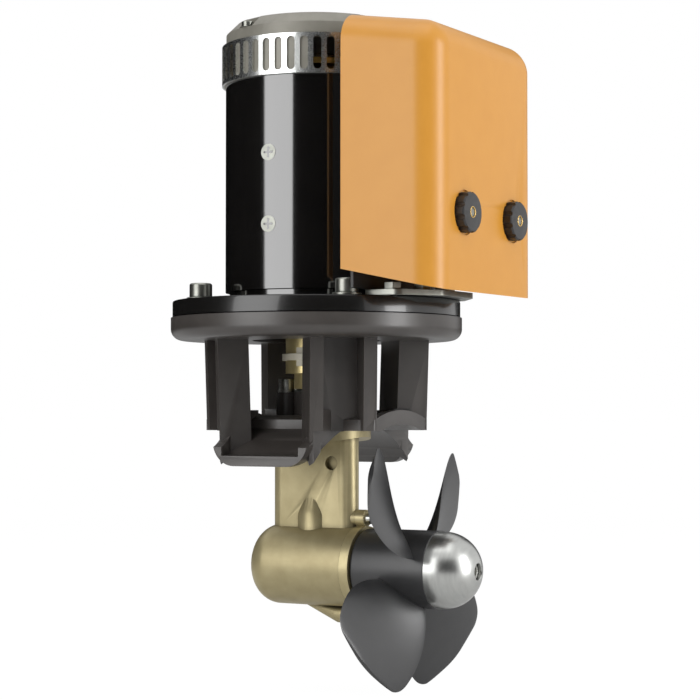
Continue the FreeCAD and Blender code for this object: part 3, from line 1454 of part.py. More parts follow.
def make_knob(label, way):
    """A scalloped knob with its threaded brass insert, centred on one cover stud."""
    spot = (s.knob_reach * way, s.knob_height)
    back = s.cover_front - s.knob_recess + s.knob_gap
    front = back + s.knob_thick
    knob = new_body(label)
    turned(knob, [(back, s.insert_radius), (front, s.insert_radius),
                  (front, s.knob_radius - 1), (front - 1, s.knob_radius),
                  (back, s.knob_radius)], axis="X")
    scallop = drum(knob, s.knob_radius / 6, back - 1, front + 1, axis="X",
                   at=(0, s.knob_radius + s.knob_radius / 12), cut=True)
    polar(knob, scallop, s.knob_lobes, axis="X")
    place(knob, 0, spot[0], spot[1])
    insert = new_body(f"{label}_insert")
    bore = s.stud_radius + s.running_gap
    turned(insert, [(back, bore), (front + s.knob_gap, bore),
                    (front + s.knob_gap, s.insert_radius), (back, s.insert_radius)], axis="X")
    place(insert, 0, spot[0], spot[1])


def make_panel():
    """Back panel with spacers, tray, and the studs that the knobs screw on to."""
    spacers = new_body("panel_spacers")
    for way in (1, -1):
        drum(spacers, s.pole_screw_head, s.motor_radius, panel_back, axis="X",
             at=(0, s.pole_middle + s.pole_pair_offset * way))
    panel = new_body("back_panel")
    block(panel, (panel_back, -s.panel_half, tray_top),
          (panel_front, s.panel_half, s.panel_top))
    for way in (1, -1):
        drum(panel, s.battery_stud_radius + 2, panel_back - 1, panel_front + 1, axis="X",
             at=(s.motor_terminal_reach * way, s.motor_terminal_height), cut=True)

    tray = new_body("contactor_tray")
    outline = [(panel_back, -s.tray_half), (s.bolt_circle + s.tray_corner, -s.tray_half),
               (s.tray_front, -s.tray_nose_half), (s.tray_front, s.tray_nose_half),
               (s.bolt_circle + s.tray_corner, s.tray_half), (panel_back, s.tray_half)]
    form = padded(tray, new_sketch(tray, "XY_Plane", [outline], offset=tray_floor), s.tray_thick)
    back_place = float(panel_back)
    rounded(tray, form, s.tray_corner,
            lambda edge: upright(edge) and edge.BoundBox.XMin > back_place + 1)
    for x, y in tray_bolt_spots():
        drum(tray, s.stud_radius, tray_floor - 1, tray_top + 1, at=(x, y), cut=True)

    bolts = new_body("tray_bolts")
    for x, y in tray_bolt_spots():
        drum(bolts, s.stud_radius, s.ring_top, tray_top + s.nut_height, at=(x, y))
        nut = bolts.newObject("PartDesign::AdditivePrism", "Nut")
        nut.Polygon = 6
        bind(nut, "Circumradius", s.nut_radius)
        bind(nut, "Height", s.nut_height)
        place(nut, x, y, tray_top)

    studs = new_body("cover_studs")
    for way in (1, -1):
        spot = (s.knob_reach * way, s.knob_height)
        drum(studs, s.stud_radius, panel_front, s.cover_front + s.knob_thick - s.knob_recess,
             axis="X", at=spot)
        drum(studs, s.stud_radius * 2, panel_front, panel_front + s.stud_radius, axis="X",
             at=spot)


def make_contactor():
    """Reversing contactor, terminal block, studs, nuts and copper bars."""
    contactor = new_body("contactor")
    top = s.contactor_floor + s.contactor_height
    front = panel_front + s.contactor_depth
    form = block(contactor, (panel_front, -s.contactor_half, s.contactor_floor),
                 (front, s.contactor_half, top))
    rounded(contactor, form, s.cover_wall, upright)

    base = new_body("terminal_block")
    block_front = panel_front + s.block_depth
    form = block(base, (panel_front, -s.block_half, s.block_floor),
                 (block_front, s.block_half, s.block_floor + s.block_height))
    rounded(base, form, s.cover_wall, upright)
    studs = new_body("battery_studs")
    bars = new_body("bus_bars")
    nuts = new_body("battery_nuts")
    height = s.block_floor + s.block_height / 2
    bar_front = block_front + s.bar_thick
    nut_front = bar_front + s.nut_height
    neck_end = nut_front + s.bar_thick / 4
    for way in (1, -1):
        reach = s.battery_stud_reach * way
        for radius, start, end in (
            (s.battery_stud_radius, block_front, nut_front),
            (s.battery_stud_radius * NECK_SHARE, nut_front, neck_end),
            (s.battery_stud_radius, neck_end, nut_front + s.battery_stud_length),
        ):
            drum(studs, radius, start, end, axis="X", at=(reach, height))
        block(bars, (block_front, reach - s.bar_half, height - s.bar_half * 1.2),
              (bar_front, reach + s.bar_half, s.contactor_floor))
        nut = nuts.newObject("PartDesign::AdditivePrism", "Nut")
        nut.Polygon = 6
        bind(nut, "Circumradius", s.nut_radius)
        bind(nut, "Height", s.nut_height)
        place(nut, bar_front, reach, height, turn=TURNS["X"])
    for way in (1, -1):
        reach = s.battery_stud_reach * way
        drum(bars, s.battery_stud_radius, block_front - 1, bar_front + 1, axis="X",
             at=(reach, height), cut=True)
        drum(nuts, s.battery_stud_radius, bar_front - 1, nut_front + 1, axis="X",
             at=(reach, height), cut=True)

    terminals = new_body("motor_terminals")
    start = chord_height(s.motor_radius, s.motor_terminal_reach + s.battery_stud_radius)
    for way in (1, -1):
        reach = s.motor_terminal_reach * way
        drum(terminals, s.battery_stud_radius, s.motor_radius, block_front, axis="X",
             at=(reach, s.motor_terminal_height))
        drum(terminals, terminal_bush_radius, start, s.motor_radius, axis="X",
             at=(reach, s.motor_terminal_height))
        block(bars, (block_front, reach - s.bar_half, top),
              (bar_front, reach + s.bar_half, s.motor_terminal_height + s.bar_half))


make_cover()
make_knob("knob_near", -1)
make_knob("knob_far", 1)
make_panel()
make_contactor()


# ---------------------------------------------------------------- check and write

def write_parts():
    """Recompute, check every object and every piece, and write one STEP file a piece."""
    doc.recompute()
    for item in doc.Objects:
        if "Invalid" in item.State or "Error" in item.State:
            raise RuntimeError(f"{item.Label} failed: {item.State}")
    os.makedirs("parts", exist_ok=True)
    for piece in pieces:
        shape = piece.Shape
        if shape.isNull() or not shape.isValid() or not shape.Solids:
            raise RuntimeError(f"{piece.Label} has no valid solid")
        shape.exportStep(f"parts/{piece.Label}.step")
        print(f"{piece.Label}: {len(shape.Solids)} solid(s), {shape.Volume:.0f} mm3")
    print(f"{len(pieces)} pieces written")


write_parts()
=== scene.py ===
# %% [markdown]
# # A bow thruster
# A bow thruster pushes a boat's bow sideways. A black electric motor stands on a round plate, a
# cast support carries the plate on a tunnel, and a bronze leg below turns the drive to the
# propeller. The orange cover hides the switch gear. The solids come from the CAD model as a
# frame, and every finish and fine surface here is added to that frame.
# %% Frame
import json
import math

import bmesh
import bpy
import numpy as np
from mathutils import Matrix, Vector


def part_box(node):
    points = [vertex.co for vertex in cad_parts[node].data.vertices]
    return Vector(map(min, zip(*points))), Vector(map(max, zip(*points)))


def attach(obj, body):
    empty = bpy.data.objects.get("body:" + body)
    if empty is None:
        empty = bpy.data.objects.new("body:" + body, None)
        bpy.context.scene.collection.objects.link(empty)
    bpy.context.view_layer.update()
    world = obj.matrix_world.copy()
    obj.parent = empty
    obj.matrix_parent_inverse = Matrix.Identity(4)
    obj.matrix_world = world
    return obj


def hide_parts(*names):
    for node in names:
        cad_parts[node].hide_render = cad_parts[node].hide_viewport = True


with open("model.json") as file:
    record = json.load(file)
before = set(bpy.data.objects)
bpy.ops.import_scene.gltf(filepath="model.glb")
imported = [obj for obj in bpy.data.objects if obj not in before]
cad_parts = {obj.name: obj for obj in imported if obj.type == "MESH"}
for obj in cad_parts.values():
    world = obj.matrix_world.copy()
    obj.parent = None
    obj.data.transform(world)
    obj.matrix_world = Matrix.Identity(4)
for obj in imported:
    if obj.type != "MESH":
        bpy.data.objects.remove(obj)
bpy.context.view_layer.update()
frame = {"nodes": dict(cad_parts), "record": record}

MM = 0.001
print("CAD nodes:", len(frame["nodes"]))

# %% [markdown]
# Colours are picked as sRGB hex values, the way a paint shop would name them. Blender works in
# linear light, so one function turns each one over.
# %% Colours
SRGB_TOE = 0.04045
SRGB_SLOPE = 12.92
SRGB_OFFSET = 0.055
SRGB_POWER = 2.4


def linear(hex_colour):
    """Linear RGBA of an sRGB hex value: a straight toe near black, a power curve above it."""
    parts = [int(hex_colour[i:i + 2], 16) / 255 for i in (1, 3, 5)]
    light = [p / SRGB_SLOPE if p <= SRGB_TOE
             else ((p + SRGB_OFFSET) / (1 + SRGB_OFFSET)) ** SRGB_POWER for p in parts]
    return (*light, 1.0)


print("orange in linear light:", [round(c, 3) for c in linear("#e0a060")[:3]])

# %% [markdown]
# A material is a chain of nodes. One helper adds a node, sets its values and makes its links, so
# that each finish below reads as a short list of what the surface is made of.
# %% Node helper
def add_node(tree, kind, settings=(), inputs=(), links=()):
    """Add a node, set its own settings and socket values, and link its inputs."""
    node = tree.nodes.new(kind)
    for name, value in dict(settings).items():
        setattr(node, name, value)
    for name, value in dict(inputs).items():
        node.inputs[name].default_value = value
    for name, source in dict(links).items():
        tree.links.new(source, node.inputs[name])
    return node


# %% [markdown]
# Every finish is built the same way. Soft noise mottles two shades of one colour, and fine noise
# breaks up the gloss and lifts the surface a little. Worn edges turn paler, and recesses get
# painted
# shade: they are darkened where other surfaces come near.
# %% Finish helper
MOTTLE_GRAINS = 14                      # grains across one soft patch of colour
NOISE_LOW, NOISE_HIGH = 0.3, 0.7        # the part of the noise's range that it mostly fills
RIDGE_LOW, RIDGE_HIGH = 0.52, 0.6       # pointiness where wear starts, and where it is full
WORN_GAIN, WORN_LIFT = 2.2, 0.05        # how much paler a worn edge is
ROUGH_SPREAD = 0.2                      # roughness varies by this share, up and down
BUMP_STRENGTH = 0.6
COAT_ROUGHNESS, COAT_IOR = 0.06, 1.75
METAL = 0.5                             # below this a surface is no metal, and has an IOR
# The near-black colour that recesses are painted towards, as painted shade.
RECESS_SHADE = "#0b0a09"


def finish_of(name, base, dark, metallic, roughness, grain_mm, bump_mm=0.0, mottle=0.5,
              wear=0.0, ior=1.5, coat=0.0, stretch=(1, 1, 1), recess_shade_mm=0.0):
    """A finish: two shades mottled by soft noise, a fine grain in roughness and in height.

    grain_mm is the real size of the grain. Noise scale is one over that size in metres.
    recess_shade_mm is the reach of the painted shade: how near other surfaces darken a recess.
    """
    material = bpy.data.materials.new(name)
    material.use_nodes = True
    tree = material.node_tree
    shader = tree.nodes["Principled BSDF"]
    shader.inputs["Metallic"].default_value = metallic
    if metallic < METAL:
        shader.inputs["IOR"].default_value = ior
    shader.inputs["Coat Weight"].default_value = coat
    shader.inputs["Coat Roughness"].default_value = COAT_ROUGHNESS
    shader.inputs["Coat IOR"].default_value = COAT_IOR
    place = add_node(tree, "ShaderNodeTexCoord")
    turned = add_node(tree, "ShaderNodeMapping", inputs={"Scale": stretch},
                      links={"Vector": place.outputs["Object"]})
    cloudy = add_node(tree, "ShaderNodeTexNoise",
                      inputs={"Scale": 1 / (grain_mm * MOTTLE_GRAINS * MM), "Detail": 3.0},
                      links={"Vector": turned.outputs["Vector"]})
    fine = add_node(tree, "ShaderNodeTexNoise",
                    inputs={"Scale": 1 / (grain_mm * MM), "Detail": 4.0, "Roughness": 0.6},
                    links={"Vector": turned.outputs["Vector"]})
    share = add_node(tree, "ShaderNodeMapRange",
                     inputs={"From Min": NOISE_LOW, "From Max": NOISE_HIGH, "To Max": mottle},
                     links={"Value": cloudy.outputs["Fac"]})
    shades = add_node(tree, "ShaderNodeMix", {"data_type": "RGBA"},
                      links={"Factor": share.outputs["Result"]})
    shades.inputs["A"].default_value = linear(base)
    shades.inputs["B"].default_value = linear(dark)
    colour = shades.outputs["Result"]
    if wear > 0:
        edges = add_node(tree, "ShaderNodeNewGeometry")
        ridge = add_node(tree, "ShaderNodeMapRange",
                         inputs={"From Min": RIDGE_LOW, "From Max": RIDGE_HIGH, "To Max": wear},
                         links={"Value": edges.outputs["Pointiness"]})
        pale = [min(1.0, c * WORN_GAIN + WORN_LIFT) for c in linear(base)[:3]]
        worn = add_node(tree, "ShaderNodeMix", {"data_type": "RGBA"},
                        links={"Factor": ridge.outputs["Result"], "A": colour})
        worn.inputs["B"].default_value = (*pale, 1.0)
        colour = worn.outputs["Result"]
    # Painted shade: ambient occlusion darkens recesses towards the near-black shade colour.
    if recess_shade_mm > 0:
        nearness = add_node(tree, "ShaderNodeAmbientOcclusion",
                            inputs={"Distance": recess_shade_mm * MM})
        shaded_recess = add_node(tree, "ShaderNodeMix", {"data_type": "RGBA"},
                         links={"Factor": nearness.outputs["AO"], "B": colour})
        shaded_recess.inputs["A"].default_value = linear(RECESS_SHADE)
        colour = shaded_recess.outputs["Result"]
    tree.links.new(colour, shader.inputs["Base Color"])
    rough = add_node(tree, "ShaderNodeMapRange",
                     inputs={"To Min": roughness * (1 - ROUGH_SPREAD),
                             "To Max": min(1.0, roughness * (1 + ROUGH_SPREAD))},
                     links={"Value": fine.outputs["Fac"]})
    tree.links.new(rough.outputs["Result"], shader.inputs["Roughness"])
    if bump_mm > 0:
        relief = add_node(tree, "ShaderNodeBump",
                          inputs={"Strength": BUMP_STRENGTH, "Distance": bump_mm * MM},
                          links={"Height": fine.outputs["Fac"]})
        tree.links.new(relief.outputs["Normal"], shader.inputs["Normal"])
    return material


# %% [markdown]
# Each finish starts from what the real surface is. Cast and then anodised aluminium has a soft
# black with a brown cast. Cast bronze that has been glass-bead blasted looks khaki and matt.
# Gloss stoved enamel on the motor is nearly black, and shows the lamps as clear pale bands.
# Moulded plastic keeps the faint orange-peel of its tool. Each key is a material slot of the CAD
# model, apart from plate_black: the plate shares the motor's slot and is less glossy than it.
# %% Finishes
finishes = {
    "black_casting": finish_of("hard anodised cast aluminium", "#3b3734", "#2f2b29", 0.0, 0.34,
                               0.9, 0.05, wear=0.25, ior=1.6),
    # Cast bronze gets painted shade in its recesses.
    "bronze": finish_of("bead-blasted cast bronze", "#aca07b", "#928661", 0.55, 0.4, 0.8, 0.05,
                        wear=0.15, recess_shade_mm=4.0),
    "gasket": finish_of("nitrile gasket sheet", "#1e1d1c", "#141313", 0.0, 0.7, 0.5),
    "stainless": finish_of("turned stainless steel", "#bdbdb8", "#a9a9a4", 1.0, 0.28, 0.4),
    "seal_rubber": finish_of("nitrile rubber seal", "#161616", "#0f0f0f", 0.0, 0.5, 0.4),
    "bearing_steel": finish_of("ground bearing steel", "#c9cacb", "#b9babb", 1.0, 0.16, 0.3),
    "bush_bronze": finish_of("sintered bronze bush", "#b08648", "#94703a", 1.0, 0.38, 0.3),
    "gear_steel": finish_of("hardened gear steel", "#8f8f90", "#7c7c7e", 1.0, 0.3, 0.3),
    "gear_bronze": finish_of("machined aluminium bronze", "#b7ab84", "#a3966f", 0.6, 0.36, 0.4),
    "propeller_plastic": finish_of("glass-filled nylon, moulded", "#2c2c2d", "#242425", 0.0,
                                   0.36, 0.6, 0.03, ior=1.6),
    "zinc": finish_of("turned zinc anode", "#bcbdba", "#a4a5a3", 1.0, 0.3, 0.8, 0.02,
                      stretch=(6, 1, 1)),
    "coupling_brass": finish_of("cast brass coupling", "#d8c68f", "#bfae7a", 0.7, 0.36, 0.5),
    "spider_nylon": finish_of("natural nylon spider", "#d6d0bd", "#c4bda8", 0.0, 0.4, 0.5),
    "motor_black": finish_of("gloss stoved enamel", "#121110", "#0c0b0b", 0.0, 0.12, 1.6,
                             ior=1.6, coat=1.0),
    "plate_black": finish_of("satin stoved enamel", "#131211", "#0d0c0c", 0.0, 0.25, 1.2, 0.01,
                             coat=0.25),
    "cap_casting": finish_of("sand-cast aluminium, painted grey", "#86837a", "#68665c", 0.2, 0.45,
                             1.2, 0.08, wear=0.15),
    "band_chrome": finish_of("bright chrome plate", "#eef0ee", "#e2e5e3", 1.0, 0.27, 0.5),
    "lamination": finish_of("silicon steel laminations", "#6e6e70", "#5b5b5d", 0.9, 0.45, 0.5,
                            0.03, stretch=(1, 1, 12)),
    "copper": finish_of("drawn copper", "#c77f52", "#a8653d", 1.0, 0.3, 0.4),
    "carbon": finish_of("pressed carbon", "#2a2a2b", "#1f1f20", 0.0, 0.5, 0.4),
    "holder_brass": finish_of("stamped brass", "#c9a55c", "#b08e4a", 1.0, 0.32, 0.4),
    "orange_plastic": finish_of("vacuum-formed ABS", "#c98c32", "#c18328", 0.0, 0.36, 1.2, 0.015,
                                mottle=0.35),
    "black_plastic": finish_of("moulded ABS, black", "#232222", "#1a1919", 0.0, 0.4, 0.6, 0.02),
    "knob_brass": finish_of("turned brass insert", "#d9b877", "#c19f5f", 1.0, 0.26, 0.3),
    # Zinc-plated steel gets painted shade in its recesses, such as its screw slots.
    "zinc_steel": finish_of("bright zinc-plated steel", "#95968f", "#7b7c76", 1.0, 0.34, 0.4,
                            recess_shade_mm=1.6),
}
print("finishes:", len(finishes))
slot_of = {row["node"]: row["material_slot"] for row in frame["record"]["subparts"]}
bodies = frame["record"]["behaviour"]["bodies"]
body_of = {node: body for body, nodes in bodies.items() for node in nodes}

# %% [markdown]
# Every piece goes into the scene the same way: its mesh gets a finish and smooth shading that
# breaks at sharp edges, and the piece takes its node's material slot and rides on its body.
# %% Piece helper
MERGE = 0.02 * MM                       # points nearer than this are one point
SHARP = math.radians(32)                # edges that turn by more than this stay sharp


def piece_of(name, mesh, node, finish=None, sharp=SHARP):
    """A piece with this mesh, in the node's finish and slot, riding on the node's body."""
    mesh.materials.append(finishes[finish or slot_of[node]])
    mesh.shade_smooth()
    mesh.set_sharp_from_angle(angle=sharp)
    piece = bpy.data.objects.new(name, mesh)
    bpy.context.scene.collection.objects.link(piece)
    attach(piece, body_of[node])
    return piece


# %% [markdown]
# A casting has no knife edges. Each CAD piece is copied, its loose triangles are joined, and a
# Bevel modifier rolls a small round on every sharp edge, so that the edges catch the light.
# %% Dress the CAD pieces
FLAT = math.radians(0.6)                # faces that turn by less than this are one face
EDGE_MM = 0.5
FINE_EDGE_MM = 0.15
EDGE_SEGMENTS = 3


def dressed(node, edge_mm):
    """A joined and softened copy of a CAD node, which stands for the node."""
    mesh = bpy.data.meshes.new(f"{node}_surface")
    work = bmesh.new()
    work.from_mesh(frame["nodes"][node].data)
    bmesh.ops.remove_doubles(work, verts=work.verts, dist=MERGE)
    bmesh.ops.dissolve_limit(work, angle_limit=FLAT, verts=work.verts, edges=work.edges)
    work.to_mesh(mesh)
    work.free()
    piece = piece_of(f"{node}_skin", mesh, node)
    soften = piece.modifiers.new("soft edges", "BEVEL")
    soften.width = edge_mm * MM
    soften.segments = EDGE_SEGMENTS
    soften.limit_method = "ANGLE"
    soften.angle_limit = SHARP
    soften.harden_normals = True
    soften.miter_outer = "MITER_ARC"
    soften.use_clamp_overlap = True
    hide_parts(node)


edge_width = {"vent_band": FINE_EDGE_MM, "pinion": FINE_EDGE_MM, "crown_gear": FINE_EDGE_MM,
              "armature_core": FINE_EDGE_MM, "commutator": FINE_EDGE_MM,
              "support_housing": 1.6, "gear_leg": 1.2}
own_surface = {"motor_yoke", "motor_plate", "propeller", "nose_anode"}
copied = [node for node in sorted(frame["nodes"]) if node not in own_surface]
for node in copied:
    dressed(node, edge_width.get(node, EDGE_MM))
print("dressed pieces:", len(copied))

# %% [markdown]
# The rounder a thing is, the more its facets show. The motor's tube, the plate, the support's
# flange, the nose and the propeller are therefore worked out again as smooth surfaces of two
# parameters. Their places come from the CAD pieces' own boxes. One helper turns a grid of points
# into a mesh, and another turns a profile into such a grid.
# %% Surface helpers
def surface(name, points, node, close_v=False, finish=None, sharp=SHARP):
    """A piece from a grid of points[u, v]: each cell of four neighbours is a face.

    The grid closes on itself along u, and along v where close_v says so.
    """
    count_u, count_v = points.shape[:2]
    index = np.arange(count_u * count_v).reshape(count_u, count_v)
    index = np.vstack([index, index[:1]])
    if close_v:
        index = np.hstack([index, index[:, :1]])
    faces = np.stack([index[:-1, :-1], index[1:, :-1], index[1:, 1:], index[:-1, 1:]], axis=-1)
    mesh = bpy.data.meshes.new(name)
    mesh.from_pydata(points.reshape(-1, 3).tolist(), [], faces.reshape(-1, 4).tolist())
    work = bmesh.new()
    work.from_mesh(mesh)
    bmesh.ops.remove_doubles(work, verts=work.verts, dist=MERGE)
    bmesh.ops.dissolve_degenerate(work, edges=work.edges, dist=MERGE / 2)
    bmesh.ops.recalc_face_normals(work, faces=work.faces)
    work.to_mesh(mesh)
    work.free()
    return piece_of(name, mesh, node, finish, sharp)


def lathe(profile, turns, axis="Z"):
    """points[u, v]: the profile's (radius, height) v carried round the axis by angle u."""
    rows = np.array(profile, float) * MM
    angle = np.linspace(0, 2 * math.pi, turns, endpoint=False)[:, None]
    radius, height = rows[None, :, 0], rows[None, :, 1]
    across, over = radius * np.cos(angle), radius * np.sin(angle)
    along = np.broadcast_to(height, across.shape)
    order = (across, over, along) if axis == "Z" else (along, across, over)
    return np.stack(order, axis=-1)


def box_mm(node):
    """Lowest and highest corner of a CAD node, in millimetres."""
    low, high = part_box(node)
    return np.array(low) / MM, np.array(high) / MM


# %% [markdown]
# The yoke is a drawn steel tube, enamelled after it is bored for its pole screws. It is a closed
# profile carried once round the motor's axis: out under the tube, up its outside, in over its top
# and back down the bore. The plate is a disc with a small chamfer below and a rounded rim above.
# %% Motor yoke and plate
YOKE_WALL = 6.0
YOKE_TURNS = 192
low, high = box_mm("motor_yoke")
outer = high[0]
yoke = surface("motor_yoke_tube", lathe([
    (outer - YOKE_WALL, low[2]), (outer, low[2]), (outer, high[2]), (outer - YOKE_WALL, high[2]),
], YOKE_TURNS), "motor_yoke", close_v=True)
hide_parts("motor_yoke")

PLATE_BORE = 30.0
RIM_CHAMFER = 0.8
RIM_ROUND = 1.2
RIM_INSET = 0.35                        # how far the rounding's middle lies inside the corner
WIDE_TURNS = 256
low, high = box_mm("motor_plate")
rim = high[0]
plate = surface("motor_plate_disc", lathe([
    (PLATE_BORE, low[2]), (rim - RIM_CHAMFER, low[2]), (rim, low[2] + RIM_CHAMFER),
    (rim, high[2] - RIM_ROUND), (rim - RIM_INSET, high[2] - RIM_INSET),
    (rim - RIM_ROUND, high[2]), (PLATE_BORE, high[2]),
], WIDE_TURNS), "motor_plate", close_v=True, finish="plate_black")
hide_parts("motor_plate")
print("yoke radius", round(outer, 2), "plate radius", round(rim, 2))

# %% [markdown]
# The support's round flange is cast in one with its pillars. A smooth ring lies a few hundredths
# of a millimetre outside the casting's flange, so that its long curve and its rounded lower edge
# show no facets.
# %% Support flange
FLANGE_RADIUS = 103.8
FLANGE_ROUND = 8.0
FLANGE_BORE = 46.0
FLANGE_THICK = 15.9
FLANGE_LIFT = 0.04
FLANGE_CHAMFER = 0.5
ROUND_STEPS = 14
top = box_mm("support_housing")[1][2]
rim = FLANGE_RADIUS + FLANGE_LIFT / 2
floor_z = top - FLANGE_THICK - FLANGE_LIFT
rounding = [(rim - FLANGE_ROUND + FLANGE_ROUND * math.cos(a),
             floor_z + FLANGE_ROUND + FLANGE_ROUND * math.sin(a))
            for a in np.linspace(-math.pi / 2, 0, ROUND_STEPS)]
surface("support_flange_ring", lathe(
    [(FLANGE_BORE, floor_z)] + rounding +
    [(rim, top - FLANGE_CHAMFER), (rim - FLANGE_CHAMFER, top), (FLANGE_BORE, top)],
    WIDE_TURNS), "support_housing", close_v=True)

# %% [markdown]
# The nose is a half ball on a short collar, with a well for its bolt in the middle.
# %% Nose
NOSE_RADIUS = 26.5
COLLAR = 3.2
DOME_STEPS = 40
WELL = 6.0
WELL_DEPTH = 8.0
WELL_LIP, WELL_LIP_DROP = 0.4, 0.6      # the mouth narrows by the first, sinking by the second
NOSE_TURNS = 128
low = box_mm("nose_anode")[0]
dome_start = low[0] + COLLAR
well_floor = dome_start + NOSE_RADIUS - WELL_DEPTH
dome = [(NOSE_RADIUS * math.sin(a), dome_start + NOSE_RADIUS * math.cos(a))
        for a in np.linspace(math.pi / 2, math.asin(WELL / NOSE_RADIUS), DOME_STEPS)]
nose = surface("nose_anode_dome", lathe(
    [(0, low[0]), (NOSE_RADIUS, low[0])] + dome +
    [(WELL - WELL_LIP, dome[-1][1] - WELL_LIP_DROP), (WELL - WELL_LIP, well_floor),
     (0, well_floor)], NOSE_TURNS, axis="X"), "nose_anode")
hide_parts("nose_anode")

# %% [markdown]
# A blade is a lens section laid along a helix. At each height above the propeller's axis the
# section's middle line follows the helix of the blade's pitch. The width flares from the hub to
# its widest height and closes in a round tip, and the thickness falls from root to tip.
# %% Propeller
BLADES = 4
PITCH = 162.0
TIP = 91.1
LAST_HEIGHT = 0.99                      # the last section's height, as a share of the tip's
HUB = 27.0
HUB_BORE = 7.0
HUB_ROUND = 2.0
HUB_CHAMFER = 0.3
HUB_STEPS = 8
ROOT_SUNK = 4.0                         # how far the blade's root reaches into the hub
ROOT_HALF, HALF_WIDTH, WIDE_HEIGHT = 13.0, 36.0, 69.0
BLADE_MIDDLE = 78.2
ROOT_THICK = 7.5
TIP_THICK = 3.5
LENS_POWER = 0.6                        # 0 gives an ellipse, and more gives sharper edges
BLADE_PHASE = 41.5
BLADE_SHARP = math.radians(60)
COUNT_ALONG, COUNT_ROUND = 64, 48


def blade(phase):
    """points[u, v]: u goes once round the lens section, v goes from inside the hub to the tip.

    A section lies on the plane at height h. Its half chord runs from (advance, -side) to
    (-advance, side), and the lens bulges to both sides of it by half its thickness. The half
    width flares from the hub as a parabola, and closes as x^3 + y^3 = 1 inside the tip circle.
    """
    share = np.sin(np.linspace(0, math.pi / 2, COUNT_ALONG))[None, :]
    root_height = HUB - ROOT_SUNK
    height = root_height + (TIP * LAST_HEIGHT - root_height) * share
    below = np.clip((WIDE_HEIGHT - height) / (WIDE_HEIGHT - root_height), 0, 1)
    above = np.clip((height - WIDE_HEIGHT) / (TIP - WIDE_HEIGHT), 0, 1)
    flared = HALF_WIDTH - (HALF_WIDTH - ROOT_HALF) * below ** 2
    closing = HALF_WIDTH * np.cbrt(1 - above ** 3)
    side = np.minimum(np.where(height < WIDE_HEIGHT, flared, closing),
                      np.sqrt(TIP ** 2 - height ** 2))
    advance = PITCH / (2 * math.pi) * np.arctan(side / height)
    thick = ROOT_THICK + (TIP_THICK - ROOT_THICK) * share
    turn = np.linspace(0, 2 * math.pi, COUNT_ROUND, endpoint=False)[:, None]
    along = np.cos(turn)
    bulge = np.sin(turn) * np.abs(np.sin(turn)) ** LENS_POWER * thick / 2
    chord = np.sqrt(side ** 2 + advance ** 2)
    x = BLADE_MIDDLE - advance * along + bulge * side / chord
    y = side * along + bulge * advance / chord
    z = np.broadcast_to(height, x.shape)
    cosine, sine = math.cos(phase), math.sin(phase)
    return np.stack([x, y * cosine - z * sine, y * sine + z * cosine], axis=-1) * MM


low, high = box_mm("propeller")
hub_profile = [(HUB_BORE, low[0]), (HUB - HUB_ROUND, low[0])]
hub_profile += [(HUB - HUB_ROUND + HUB_ROUND * math.sin(a),
                 low[0] + HUB_ROUND - HUB_ROUND * math.cos(a))
                for a in np.linspace(0, math.pi / 2, HUB_STEPS)]
hub_profile += [(HUB, high[0] - HUB_CHAMFER), (HUB - HUB_CHAMFER, high[0]), (HUB_BORE, high[0])]
surface("propeller_hub", lathe(hub_profile, NOSE_TURNS, axis="X"), "propeller", close_v=True)
for number in range(BLADES):
    points = blade(math.radians(BLADE_PHASE + 360 / BLADES * number))
    tip_ring = points[:, -1:].mean(axis=0, keepdims=True).repeat(COUNT_ROUND, axis=0)
    root_ring = points[:, :1].mean(axis=0, keepdims=True).repeat(COUNT_ROUND, axis=0)
    closed = np.concatenate([root_ring, points, tip_ring], axis=1)
    piece = surface(f"propeller_blade_{number + 1}", closed, "propeller", sharp=BLADE_SHARP)
    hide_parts("propeller")
print("points of one blade:", COUNT_ALONG * COUNT_ROUND)

# %% [markdown]
# The studio: a pale floor that melts into a white surround, one large soft lamp at the left, a
# narrower one at the right, and a weak one from above. The gloss enamel shows these lamps as
# tall pale bands, which is what tells the eye that it is round. The surround is white where it is
# seen, in a gloss surface too, and dimmer where it lights the object.
# %% Studio
WHITE = (1, 1, 1, 1)
SEEN_STRENGTH = 1.0
LIGHT_STRENGTH = 0.55
world = bpy.data.worlds.new("white room")
world.use_nodes = True
bpy.context.scene.world = world
tree = world.node_tree
tree.nodes.clear()
rays = add_node(tree, "ShaderNodeLightPath")
bright = add_node(tree, "ShaderNodeBackground",
                  inputs={"Color": WHITE, "Strength": SEEN_STRENGTH})
soft = add_node(tree, "ShaderNodeBackground",
                inputs={"Color": WHITE, "Strength": LIGHT_STRENGTH})
seen = add_node(tree, "ShaderNodeMath", {"operation": "MAXIMUM"},
                links={0: rays.outputs["Is Camera Ray"], 1: rays.outputs["Is Glossy Ray"]})
blend = add_node(tree, "ShaderNodeMixShader",
                 links={0: seen.outputs["Value"], 1: soft.outputs["Background"],
                        2: bright.outputs["Background"]})
add_node(tree, "ShaderNodeOutputWorld", links={"Surface": blend.outputs["Shader"]})
AIM = Vector((0.0, 0.0, 0.16))


def softbox(name, place, width, height, power):
    """A rectangular area lamp aimed at the middle of the object. Sizes in metres, power in W."""
    data = bpy.data.lights.new(name, "AREA")
    data.shape = "RECTANGLE"
    data.size = width
    data.size_y = height
    data.energy = power
    lamp = bpy.data.objects.new(name, data)
    lamp.location = place
    lamp.rotation_euler = (AIM - Vector(place)).to_track_quat("-Z", "Y").to_euler()
    bpy.context.scene.collection.objects.link(lamp)


softbox("left softbox", (-0.42, -1.36, 0.35), 0.95, 1.5, 12)
softbox("right softbox", (1.5, 0.1, 0.35), 0.5, 1.3, 15)
softbox("top softbox", (0.1, -0.3, 1.5), 1.2, 1.0, 5)
print("lamps:", len(bpy.data.lights))

